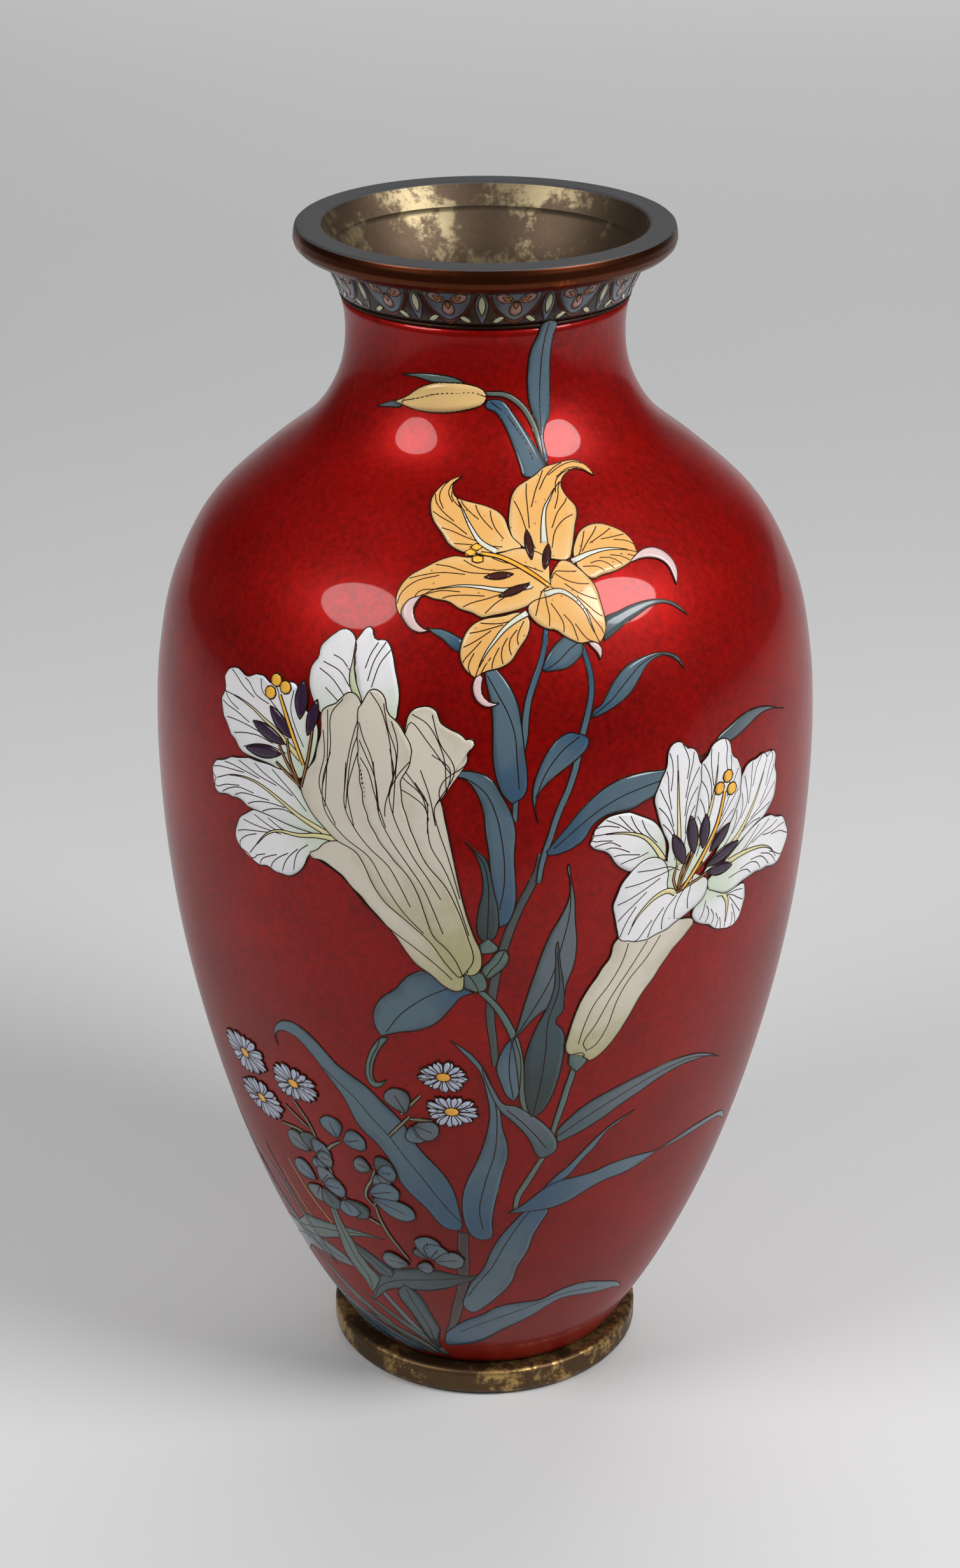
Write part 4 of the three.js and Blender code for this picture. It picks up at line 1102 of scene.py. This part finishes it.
cell("yellow_petal_left", "yellow_petal_left", "yellow",
     [(12.8, 197.2), (13, 203), (8.1, 205.4), (2.5, 204.4), (-3.7, 203.6), (-6.6, 203.8), (-9.5, 202.9),
      (-12.4, 201.2), (-15.5, 199), (-16.9, 196.7), (-17.3, 194.3), (-16.5, 191.8), (-14.9, 189.9)],
     [(12.8, 197.2), (8, 193.5), (0.8, 191.7), (-0.8, 191.4), (-2.5, 192.3), (-4.9, 193), (-7, 194.3),
      (-10.1, 194.8), (-12.2, 195.3), (-13.6, 192.5), (-14.9, 189.9)],
     ribs=[
         [(9, 197.5), (4, 196.7), (-1, 197.4), (-5, 197.6), (-7.4, 197.2), (-10.1, 196.6), (-12.2, 195.3)],
     ])
cell("yellow_curl_left", None, "pink",
     [(-12.2, 195.3), (-14.8, 194.2), (-15.9, 191.6), (-14.9, 189.9), (-13.6, 188.6), (-11.8, 188.1),
      (-10.3, 188.6)],
     [(-12.2, 195.3), (-13, 194.3), (-13.6, 192.5), (-13, 190.5), (-11.6, 189.05), (-10.3, 188.6)])
cell("yellow_petal_bottom", "yellow_petal_bottom", "yellow",
     [(7.7, 192.1), (8.1, 190), (7.5, 187.8), (5.8, 185.3), (4.4, 183.1), (2.5, 181.9), (0.4, 181.4),
      (-0.8, 180.8), (-1.8, 180)],
     [(7.7, 192.1), (5.8, 192.3), (3.3, 191.7), (0, 191.2), (-2, 190.3), (-3.5, 188.6), (-4.3, 186.3),
      (-4.45, 183.8), (-3.5, 181.6), (-1.8, 180)],
     ribs=[
         [(7.7, 192.1), (5.4, 190.8), (3.3, 189.1), (1.7, 187.1), (0, 184.6), (-1.2, 181.9), (-1.8, 180)],
     ])
cell("yellow_curl_bottom", None, "pink",
     [(-0.9, 180.7), (-1.8, 180), (-2.2, 178), (-1.5, 175.8), (0, 174.6), (1.5, 174.8), (2.2, 175.3)],
     [(-0.9, 180.7), (-0.5, 180.5), (-0.7, 178.5), (-0.5, 176.8), (0.8, 175.4), (2.2, 175.3)])
cell("yellow_petal_right", "yellow_petal_right", "yellow",
     [(19.3, 200.6), (19.2, 203.5), (20.7, 206.2), (22.3, 207.9), (24.8, 208.9), (27.7, 209), (30, 208.2),
      (32.7, 206.4), (34, 204.2), (33.8, 201.2)],
     [(19.3, 200.6), (21.7, 197.7), (24, 198.2), (26.9, 198.5), (31.2, 199.7), (33.8, 201.2)],
     ribs=[
         [(18.5, 201.8), (23, 203), (27, 203.3), (31, 202.6), (33.8, 201.4)],
     ])
cell("yellow_curl_right", None, "pink",
     [(32, 200.3), (33.8, 201.2), (36, 201.8), (38.5, 201.5), (40.5, 200), (41.4, 197.7), (40.9, 195.3),
      (39.5, 193.2)],
     [(32, 200.3), (31.2, 199.7), (33.9, 200), (36.4, 199.7), (38.5, 198.7), (39.5, 197.2), (39.6, 195.3),
      (39.5, 193.2)])
cell("yellow_petal_front", "yellow_petal_front", "yellow",
     [(12.8, 197), (13.5, 199.5), (15.3, 201.7), (16.1, 202.2), (17.8, 201.8), (19.4, 200.2),
      (20.7, 198.5), (21.9, 196), (22.1, 193.3), (22.3, 190.3), (22.1, 187.8), (21.1, 185.8),
      (20.3, 185.1)],
     [(12.8, 197), (13.7, 196.2), (11.6, 195), (9.5, 194.5), (8.1, 193.5), (7.9, 192.3), (8.9, 190.5),
      (10.3, 189.3), (11.6, 188.7), (12.6, 188.6), (14.1, 187.3), (15.7, 186.2), (17, 185.6),
      (19.2, 185.7), (20.3, 185.1)],
     ribs=[
         [(11.5, 195.5), (14.5, 196), (17, 194.3), (18.8, 191.5), (19.5, 188.5), (20.5, 185.3)],
     ])
cell("yellow_curl_front", None, "pink",
     [(18.4, 185.6), (20.1, 185.3), (20.8, 183.8), (20.2, 182.1)],
     [(18.4, 185.6), (19, 184.6), (19.9, 183.4), (20.2, 182.1)])


# The white lily on the left.
begin("left_lily", 44)
cell("left_lily_calyx", None, "green",
     [(-1.4, 115.2), (-3.9, 116.5), (-3.6, 119.6)],
     [(-1.4, 115.2), (0.2, 116), (-0.6, 119.6), (-3.6, 119.6)])
cell("left_lily_back_left", "left_lily_petal_back", "white",
     [(-24, 171.5), (-27.9, 170.2), (-30.9, 174.8), (-31.2, 177.7), (-30.9, 179.3), (-30.1, 180.8),
      (-29.9, 182.9), (-29, 184.2), (-27.9, 185.8), (-26.4, 186.8), (-25.1, 186.7), (-23.8, 185.8),
      (-23.5, 185.2)],
     [(-24, 171.5), (-21.4, 173.5), (-23.1, 175.9), (-23.7, 178.5), (-23.5, 181.6), (-23.5, 185.2)],
     ribs=[
         [(-23.8, 179.5), (-25.5, 181.3), (-27.3, 181.9)],
         [(-23.4, 176.4), (-25.5, 179), (-29, 180.3)],
         [(-24, 174.3), (-26.8, 177.4), (-29.5, 178.9)],
         [(-25.1, 173.2), (-26.4, 174.3), (-27.9, 175.5)],
     ])
cell("left_lily_back_right", "left_lily_petal_back", "white",
     [(-18, 171), (-14.9, 171.2), (-14.7, 172.8), (-14.5, 175.9), (-15.1, 179), (-15.8, 181.6),
      (-16.4, 184.2), (-17.3, 185.7), (-18.6, 186.3), (-19.9, 186.2), (-20.3, 187.3), (-21, 188.3),
      (-22.1, 188.1), (-22.9, 186.8), (-23.5, 185.2)],
     [(-18, 171), (-21, 174.1), (-22.3, 177.4), (-23.1, 180.6), (-23.5, 185.2)],
     ribs=[
         [(-21, 180.3), (-20.3, 183.2), (-19.2, 185.5)],
         [(-20.3, 178), (-19.5, 182.1), (-17.8, 185.7)],
         [(-19.5, 176.9), (-18.4, 181.6), (-16.8, 184.3)],
     ])
cell("left_lily_back_rib", None, "throat",
     [(-21.2, 172), (-21.4, 173.5), (-23.1, 175.9), (-23.7, 178.5), (-23.5, 181.6), (-23.5, 185.2)],
     [(-21.2, 172), (-21, 174.1), (-22.3, 177.4), (-23.1, 180.6), (-23.5, 185.2)])
cell("left_lily_petal_upper", "left_lily_petal_upper", "white",
     [(-30.8, 157.2), (-29, 162), (-28.8, 168), (-31.6, 170.7), (-32, 171), (-33.2, 174.5), (-34.5, 175.1),
      (-39, 173.8), (-40.5, 174.9), (-42.5, 174.5), (-44.5, 173.7), (-46.5, 174.2), (-48.5, 174.2),
      (-49.8, 173.2), (-50.2, 171.5)],
     [(-30.8, 157.2), (-33, 156), (-37, 157.7), (-40.5, 158), (-43.5, 158.1), (-45, 158.8), (-46, 160),
      (-47.5, 161.2), (-48.8, 163), (-50, 165), (-50.4, 167), (-49.8, 169), (-50.2, 171.5)],
     ribs=[
         [(-31.5, 160.5), (-37, 165), (-39.5, 166.3), (-42.5, 167.8), (-46, 168.7), (-49.8, 168.9)],
     ])
cell("left_lily_petal_middle", "left_lily_petal_middle", "white",
     [(-24.5, 145.8), (-28, 149.5), (-31.2, 154), (-33.5, 157), (-36, 157.5), (-40, 157.8), (-43.5, 157.5),
      (-46.5, 156.5), (-49, 155.2), (-51, 154), (-52.1, 152.3), (-51.8, 151), (-50.8, 150.5)],
     [(-24.5, 145.8), (-33, 146.2), (-41, 147), (-42.5, 147.3), (-44.5, 148), (-47, 148), (-49.5, 147.5),
      (-51, 147.7), (-51.5, 149), (-50.8, 150.5)],
     ribs=[
         [(-24.5, 145.8), (-28, 147.2), (-32, 149), (-36, 151.3), (-40, 153), (-43, 153.3), (-47, 152.5),
          (-50.5, 150.6)],
     ])
cell("left_lily_petal_lower", "left_lily_petal_lower", "white",
     [(-24.5, 145.6), (-33, 146.3), (-41, 147.3), (-43.5, 145.8), (-45, 144), (-46, 141.5), (-45.8, 139),
      (-44.8, 137.6), (-43, 137.3)],
     [(-24.5, 145.6), (-26.5, 144.5), (-28.5, 142.5), (-30, 141), (-31, 138.5), (-32.5, 136.3),
      (-34.5, 135.2), (-36.5, 135.2), (-38.5, 135.8), (-40.5, 135.6), (-42, 136), (-43, 137.3)],
     ribs=[
         [(-24.3, 145.7), (-28, 145.7), (-32, 144.8), (-36, 144.5), (-38.5, 143), (-40.5, 140.5),
          (-42.6, 137.5)],
     ])
cell("left_lily_tube_under", "left_lily_trumpet", "tube",
     [(-3.6, 119), (-3.6, 117.5), (-3.8, 115.8), (-5, 115.3), (-7, 116.5), (-9, 118.8), (-11.5, 121),
      (-13, 123.3), (-15, 127), (-17.5, 130.5), (-20.5, 134.5), (-23, 137.5), (-25, 139.5), (-27, 140.6),
      (-29.8, 141.2), (-28.5, 142.5), (-26.5, 144.5), (-24.5, 145.5)],
     [(-3.6, 119), (-4.2, 118.5), (-6.5, 121.5), (-9, 126), (-13, 130.5), (-16.5, 134), (-18.5, 137.5),
      (-20, 141.5), (-21.5, 144), (-24.5, 145.5)],
     ribs=[
         [(-5.5, 118), (-8, 121), (-12, 125), (-16, 128.5), (-20, 133), (-24, 138), (-28.5, 140.8)],
     ])
cell("left_lily_curl", "left_lily_petal_curled", "tube",
     [(-3.5, 119.5), (-2, 122.5), (-3, 128), (-4.5, 133.5), (-6.5, 138.5), (-9.5, 143), (-11.5, 148),
      (-13, 153), (-13.8, 157), (-13.7, 160), (-12.3, 163.5), (-12.2, 165.5)],
     [(-3.5, 119.5), (-2.5, 119), (-1.5, 119.5), (-0.7, 121), (-0.8, 124.5), (-1.8, 127.5), (-3, 132),
      (-4, 137), (-4.8, 142), (-5.6, 147), (-6.3, 151), (-7, 155), (-7.5, 157.5), (-7, 160), (-5.5, 161.5),
      (-4.2, 162.7), (-3, 164.3), (-3, 165.8), (-2, 167.3), (-2.2, 168.2), (-3.3, 168.2), (-4, 169.2),
      (-5, 169.5), (-6.2, 170.2), (-7.5, 171.5), (-8.5, 173.6), (-10.2, 174.3), (-12, 173.2), (-13, 171),
      (-13, 168), (-12.2, 165.5)],
     ribs=[
         [(-8, 151), (-9, 157), (-10.5, 162)],
     ])
cell("left_lily_trumpet_left", "left_lily_trumpet", "tube",
     [(-3.8, 118.9), (-4.2, 118.5), (-6.5, 121.5), (-9, 126), (-13, 130.5), (-16.5, 134), (-18.5, 137.5),
      (-20, 141.5), (-21.5, 144), (-24.5, 145.5), (-26.5, 147.3), (-28.5, 149.5), (-30, 151.5), (-31, 154),
      (-31.2, 156.5), (-30, 158.7), (-28.7, 161.5), (-28.2, 164.5), (-27.8, 168), (-28, 171), (-27, 171.8),
      (-25.5, 172.6), (-24.7, 174), (-23.5, 175.1), (-22, 174.8), (-21, 173.4)],
     [(-3.8, 118.9), (-4, 119.7), (-5, 122.5), (-6.5, 125), (-8.5, 127.5), (-9.8, 132), (-11, 136.5),
      (-12.5, 140), (-15, 143.5), (-17.5, 147.5), (-19.3, 152), (-20.2, 157), (-20.8, 162), (-21.2, 168),
      (-21.2, 173.3), (-21, 173.4)],
     ribs=[
         [(-3, 119.5), (-3, 121), (-4.5, 125), (-6, 129), (-7.5, 134), (-9.5, 139), (-12, 143),
          (-15.5, 147.5), (-18, 151.5), (-19.5, 156), (-21, 162)],
     ])
cell("left_lily_trumpet_right", "left_lily_trumpet", "tube",
     [(-3.8, 118.9), (-4, 119.7), (-5, 122.5), (-6.5, 125), (-8.5, 127.5), (-9.8, 132), (-11, 136.5),
      (-12.5, 140), (-15, 143.5), (-17.5, 147.5), (-19.3, 152), (-20.2, 157), (-20.8, 162), (-21.2, 168),
      (-21.2, 173.3), (-21, 173.4)],
     [(-3.8, 118.9), (-2, 122.5), (-3, 128), (-4.5, 133.5), (-6.5, 138.5), (-9.5, 143), (-11.5, 148),
      (-13, 153), (-13.8, 157), (-13.7, 160), (-12.3, 163.5), (-12.2, 165.3), (-12.6, 167), (-13.5, 169),
      (-14.8, 170.7), (-16, 172), (-16.8, 173.5), (-17.2, 175.2), (-18.3, 176.5), (-19.5, 176.2),
      (-20.3, 174.6), (-21, 173.4)],
     ribs=[
         [(-16.3, 152), (-16.3, 154), (-15.5, 157.5), (-14, 161), (-12.3, 163.5)],
     ])


# The white lily on the right.
begin("right_lily", 44)
cell("right_lily_calyx", None, "green",
     [(16.5, 94.5), (15, 96.5), (15, 99.5)],
     [(16.5, 94.5), (18.3, 97), (17.8, 99.3), (15, 99.5)])
cell("right_lily_petal_5", "right_lily_petal_5", "white",
     [(40, 130.7), (36.8, 126.3), (37.1, 124.9), (38.3, 123.4), (40.2, 122.4), (42, 121), (43.7, 119.8),
      (45.1, 119.7)],
     [(40, 130.7), (42, 129.8), (44, 128.5), (47, 128.2), (49.4, 128.2), (50, 125.9), (50, 123.5),
      (49.2, 121), (47.8, 119.4), (46.3, 119.1), (45.1, 119.7)],
     ribs=[
         [(44, 128), (45, 126), (45.2, 123), (45, 120)],
     ])
cell("right_lily_petal_4", "right_lily_petal_4", "white",
     [(39.9, 132.6), (49.4, 139.2), (51.3, 140), (53.9, 140.4), (56.2, 140.1), (57.9, 138.8), (60.3, 138),
      (62, 136.1), (63.4, 133.8), (63.6, 131.9), (62.8, 130.3)],
     [(39.9, 132.6), (40.2, 130.4), (41.4, 129.6), (42.8, 128.7), (44.1, 128), (46.1, 128), (48.8, 128.8),
      (52.3, 129.2), (55.4, 128.9), (58.1, 128.3), (59.9, 127.8), (61.1, 128.7), (62.8, 130.3)],
     ribs=[
         [(44.5, 134.8), (48, 135.2), (52, 134.8), (55, 133.8), (57.5, 132), (59.5, 129.5)],
     ])
cell("right_lily_petal_3", "right_lily_petal_3", "white",
     [(38.2, 133.8), (42, 139), (44.9, 143.8), (46.9, 148.7), (47.2, 151.3), (48.2, 153.2), (49.8, 154),
      (51.9, 154.2), (53.9, 154.2), (54.6, 153.2)],
     [(38.2, 133.8), (41.5, 135), (49.4, 139.2), (51.9, 140.4), (54.2, 141), (55.8, 142.4), (57.2, 144.3),
      (57.7, 146.4), (57.6, 148.5), (57.1, 150.1), (57.5, 152.2), (56.8, 153.5), (55.6, 153.8),
      (54.6, 153.2)],
     ribs=[
         [(45, 138.3), (46.5, 139.5), (49, 142.5), (51.5, 146.5), (53, 149.5), (54.6, 153)],
     ])
cell("right_lily_petal_2", "right_lily_petal_2", "white",
     [(34, 132.6), (36, 141), (36.5, 148), (37, 151), (37.5, 154), (37.8, 157.5), (37.9, 157.6),
      (39.5, 159.2), (40.6, 160.6), (42, 161.4)],
     [(34, 132.6), (38.5, 136.5), (44.9, 143.8), (46.1, 146.4), (46.9, 148.7), (47, 151.5), (46.9, 154.3),
      (46.1, 156), (45, 156.9), (44.6, 159.5), (43.5, 161), (42, 161.4)],
     ribs=[
         [(37, 141), (39.5, 147), (41, 153), (41.8, 159)],
     ])
cell("right_lily_petal_1", "right_lily_petal_1", "white",
     [(33.3, 132.4), (31.3, 136), (31, 140), (31.2, 142.9), (30.1, 145.9), (29.1, 149.7), (28.6, 152.5),
      (28.9, 154.6), (29.7, 156.4), (30.7, 158.3), (31, 159.9), (31.5, 162), (32.1, 163.1), (33, 163.6)],
     [(33.3, 132.4), (35.6, 140), (36.5, 148), (37, 151), (37.5, 154), (37.8, 157.5), (37.9, 157.6),
      (37.3, 158.3), (36.9, 160.4), (36.2, 161.5), (34.9, 161.6), (34, 163.1), (33, 163.6)],
     ribs=[
         [(33.4, 138), (33.2, 145), (33, 152), (33, 161)],
     ])
cell("right_lily_petal_6", "right_lily_petal_6", "white",
     [(30.7, 140.3), (30.6, 143.5), (29.9, 145.9), (28.6, 148.3), (26.4, 150.1), (24.5, 151.3),
      (22.1, 151.9), (19.8, 151.2), (18.1, 149.9), (17.5, 148.7), (17.6, 147.7)],
     [(30.7, 140.3), (27, 141), (24.3, 139), (23.3, 139.4), (21.8, 140.6), (20.6, 142.7), (19.2, 144.2),
      (17.3, 145.2), (16.7, 146.2), (17.6, 147.7)],
     ribs=[
         [(30.3, 140), (28.7, 143), (26.5, 145.8), (23.5, 147.3), (20.5, 147.8), (17.6, 147.8)],
     ])
cell("right_lily_tube", "right_lily_trumpet", "tube",
     [(17.6, 98), (17.5, 99.2), (14.8, 99.2), (14.1, 101), (14.5, 104), (15.3, 108), (16.5, 112),
      (18, 115), (20, 118.5), (21.5, 121.5), (22.2, 124.5), (30, 127)],
     [(17.6, 98), (17.8, 98.2), (18.5, 97), (19.5, 97.2), (21.5, 99), (23.5, 102), (25.5, 106),
      (27.5, 110.5), (30, 114.5), (32, 118), (34.5, 121), (37.2, 124.3), (30, 127)],
     ribs=[
         [(16.4, 101.5), (17.3, 106), (18.8, 110.5), (21.5, 115), (23.5, 119.5), (24.4, 123.3)],
         [(18, 99.8), (17.3, 101.3), (19.5, 106), (22, 112), (25, 117.5), (28, 123)],
         [(17.8, 99.5), (19.5, 100.5), (21.5, 104.5), (23, 110.5), (25, 115), (28, 119), (30.5, 123.5)],
     ])
cell("right_lily_petal_7", "right_lily_petal_7", "white",
     [(33.4, 131.8), (31.3, 133.8), (31.3, 137.1), (30.5, 139.6), (29, 140.9), (27, 141), (25.1, 139.9),
      (23.3, 137.8), (21.9, 135.2), (21.2, 132.4), (21.4, 129.6), (22.1, 126.8), (22.3, 124.7),
      (23.2, 123.9), (24.3, 123.9)],
     [(33.4, 131.8), (35.2, 132.6), (37.1, 133.6), (38.9, 133.7), (39.8, 132.6), (39.8, 130.8),
      (38.9, 128.7), (37.1, 127.3), (34.8, 126.1), (32.5, 124.7), (30.1, 123.8), (27.8, 123.2),
      (25.5, 123.1), (24.3, 123.9)],
     ribs=[
         [(33, 132), (31.5, 133), (29, 132.3), (27, 130.5), (25.5, 128.5), (24.2, 125.2)],
     ])

# The small plants low on the left: stalks, leaves and daisies.
begin("daisies", 28)
STALKS = [
    [(-40.5, 79.5), (-37.5, 74), (-36.5, 70)], [(-43.5, 77), (-38, 73)], [(-46, 71), (-41, 71.3), (-37, 70)],
    [(-12, 89), (-16, 83.5)], [(-10, 82.7), (-15, 82.5)], [(-19, 39.5), (-21.5, 44), (-24, 49.5), (-25, 56)],
    [(-24.5, 49.5), (-27.5, 51)], [(-36.5, 70), (-35, 64), (-34, 58), (-31, 52)],
    [(-30.5, 72), (-33, 70), (-36, 66)], [(-23.5, 66), (-25, 62), (-27, 58.5), (-25, 55)],
    [(-14.5, 83), (-16, 81), (-19, 77)],
]
for k, path in enumerate(STALKS):
    stem(f"daisy_stalk_{k + 1}", None, "stalk", 0.7, path)
SPRAYS = [
    ((-30.5, 72), [(-32.5, 78.5), (-24.5, 74.5)]),
    ((-38.5, 65.5), [(-45, 69), (-38.5, 71.5), (-34.5, 69.5), (-37.5, 61.5), (-33.5, 65.5)]),
    ((-39, 57), [(-45.5, 61), (-35, 62), (-42, 51.5), (-36, 50.5), (-32, 58)]),
    ((-33.5, 55.5), [(-27.5, 51), (-31.5, 50)]),
    ((-23.5, 66), [(-28, 67.5), (-21.5, 61.8), (-19.5, 69.5), (-18.5, 66.5)]),
    ((-27, 58.5), [(-18.5, 61.5), (-15.5, 54)]),
    ((-14.5, 83), [(-17.5, 90)]),
    ((-14.5, 81.5), [(-12.5, 76.5), (-9, 79)]),
    ((-14, 40.5), [(-16, 44.5), (-13.5, 48.5), (-10.5, 46), (-5, 42)]),
    ((-18, 38.2), [(-26.5, 38.5), (-13, 38)]),
]
SPRAY_FINISHES = ("slate", "grey", "slate", "dark_green", "grey")
for k, (hub, tips) in enumerate(SPRAYS):
    for j, tip in enumerate(tips):
        finish = SPRAY_FINISHES[(k + 2 * j) % len(SPRAY_FINISHES)]
        width = 0.5 * math.hypot((tip[0] - hub[0]) * degree_width(hub[1]), tip[1] - hub[1])
        small_leaf(f"small_leaf_{k + 1}_{j + 1}", finish, hub, tip, min(width, 2.8))

# Grass that leans away to the left from the foot.
begin("grass", 0)
BLADES = [
    ((-16, 1), (-26, 16), (-36, 34), 1.3), ((-20, 1), (-38, 12), (-58, 30), 1.6),
    ((-24, 1), (-47, 9), (-74, 24), 1.7), ((-28, 1), (-48, 5), (-82, 13), 1.5),
    ((-14, 1.5), (-24, 10), (-40, 22), 1.2), ((-34, 1), (-64, 14), (-92, 44), 1.4),
    ((-40, 1), (-72, 9), (-104, 30), 1.6), ((-18, 2), (-30, 8), (-46, 12), 1.2),
    ((-48, 1), (-70, 4), (-98, 9), 1.3), ((-56, 32), (-64, 44), (-73, 62), 0.6),
    ((-46, 30), (-52, 44), (-57, 60), 0.6), ((-46, 28), (-58, 38), (-66, 52), 0.7),
]
for k, (root, bend, tip, half_width) in enumerate(BLADES):
    middle = smooth_line([root, bend, tip], 13)
    share = np.linspace(0, 1, 13)[:, None]
    side = half_width * np.sin(math.pi * share ** 0.7) ** 0.7 * [[0.6, 1.1]]
    cell(f"grass_{k + 1}", None, ("grey", "green", "slate")[k % 3], middle - side, middle + side)

begin("daisies", 55)
daisy("daisy_1", -53, 86, 7, 5.2)
daisy("daisy_3", -51, 75.3, 7.3, 4.9)
daisy("daisy_2", -39.3, 84.4, 6, 4.8)
daisy("daisy_4", -7.5, 94.4, 4.8, 4.1)
daisy("daisy_5", -6.2, 85.6, 5.2, 4.3)

# Stamens and pistils.
begin("yellow_lily", 62)
stem("yellow_pistil", None, "pistil", 0.9,
     [(12.8, 197), (10, 199.5), (7, 201.7), (4, 203.3), (1, 204.3), (-1, 204.5)])
for k, (start, end) in enumerate([
        ((9.7, 209.4), (9.8, 202.8)), ((14.2, 206), (12.2, 200.6)),
        ((-0.3, 199.4), (5.7, 200)), ((2.5, 195.4), (8.7, 197.8))]):
    lens(f"yellow_anther_{k + 1}", None, "anther", start, end, 0.75)
for k, spot in enumerate([(-3.3, 204.6), (-2, 205.8), (-1.7, 203.2)]):
    oval(f"yellow_stigma_{k + 1}", None, "pistil", spot, 1.4, 0.8)

begin("left_lily", 62)
fan_of("left_filament", "amber", 0.5, (-31.3, 155),
       [(-34.5, 164), (-36, 162.3), (-36.5, 158.7), (-29.6, 167)])
stem("left_style", None, "pistil", 0.8,
     [(-36.7, 172), (-35, 168.5), (-33, 164), (-31.8, 161.5), (-30.9, 159.5)])
for k, (start, end, half) in enumerate([
        ((-32.3, 176), (-32.2, 168.3), 1.4), ((-29.1, 172.9), (-30.5, 165.5), 1.1),
        ((-38.5, 169.3), (-33.7, 164.2), 1.3), ((-42, 165.3), (-34.8, 162.7), 1.3),
        ((-43.2, 159.5), (-35.5, 160.5), 1.3)]):
    lens(f"left_anther_{k + 1}", None, "aubergine", start, end, half)
for k, spot in enumerate([(-37.8, 174.6), (-35.7, 173.7), (-38.7, 171.9)]):
    oval(f"left_stigma_{k + 1}", None, "pistil", spot, 1.2, 1.3)

begin("right_lily", 62)
fan_of("right_filament", "amber", 0.5, (33.3, 132.3),
       [(33, 138), (35.5, 140), (36.5, 140), (38.5, 137), (41, 135)])
stem("right_style", None, "pistil", 0.9,
     [(34.3, 132.5), (36.5, 135.5), (39, 139.5), (41.5, 144.5), (43, 150.5)])
for k, (start, end) in enumerate([
        ((32, 144.9), (34.6, 137.8)), ((35.6, 147.8), (36.5, 139.5)), ((38.9, 147.1), (38.3, 140)),
        ((44.4, 143.3), (39.9, 138.8)), ((46.8, 138.5), (39.2, 135.8)), ((39.5, 134.4), (45.5, 133.8))]):
    lens(f"right_anther_{k + 1}", None, "aubergine", start, end, 1.3)
for k, spot in enumerate([(43.8, 153.4), (41.8, 151.5), (44.7, 150.5)]):
    oval(f"right_stigma_{k + 1}", None, "pistil", spot, 1.2, 1.3)

lay_cells()


# ---------------------------------------------------------------- floor and backdrop
PAPER = colour(208, 208, 209)
PAPER_SHADE = colour(203, 203, 204)
# Painted shade: the paper is painted dark in front of the vase and far out to each side, and pale only round
# and behind the vase.
PAPER_PAINTED_SHADE = colour(80, 80, 82)
PAINTED_SHADE_AHEAD = (-0.42, -0.25)  # metres ahead of the vase where the paper turns from dark to pale
PAINTED_SHADE_ASIDE = (2.6, 1.4)  # and metres to each side of it


def make_backdrop():
    """A pale sheet that lies under the vase and curves up behind it, painted dark with shade ahead of the
    vase towards the camera and far out to each side.
    """
    x = np.linspace(-5, 5, 5)
    bend = np.linspace(0, math.pi / 2, 17)
    back, radius = 2.4, 0.8
    y = np.concatenate([[-5, -1, 0, 0.8], back + radius * np.sin(bend), [back + radius]])
    z = np.concatenate([[0, 0, 0, 0], radius - radius * np.cos(bend), [3]])
    points = np.stack([np.repeat(x, len(y)), np.tile(y, len(x)), np.tile(z, len(x))], axis=1)
    mesh = bpy.data.meshes.new("backdrop")
    mesh.from_pydata(points.tolist(), [], grid_faces(len(x), len(y))[:, ::-1].tolist())
    mesh.polygons.foreach_set("use_smooth", [True] * len(mesh.polygons))
    paper = Finish("backdrop_paper", Roughness=0.7)
    where = paper.place()
    ahead = paper.node("ShaderNodeSeparateXYZ", inputs={0: where}, output=1)
    aside = paper.node("ShaderNodeSeparateXYZ", inputs={0: where}, output=0).size()
    # Painted shade: lit is 1 only near and behind the vase; elsewhere the paper takes the dark painted shade
    # colour.
    lit = ahead.between(*PAINTED_SHADE_AHEAD) * aside.between(*PAINTED_SHADE_ASIDE)
    paper.tint(paper.mix(lit, PAPER_PAINTED_SHADE, paper.mix(paper.noise(2.0), PAPER, PAPER_SHADE)))
    mesh.materials.append(paper.material)
    floor = bpy.data.objects.new("backdrop", mesh)
    bpy.context.collection.objects.link(floor)


make_backdrop()
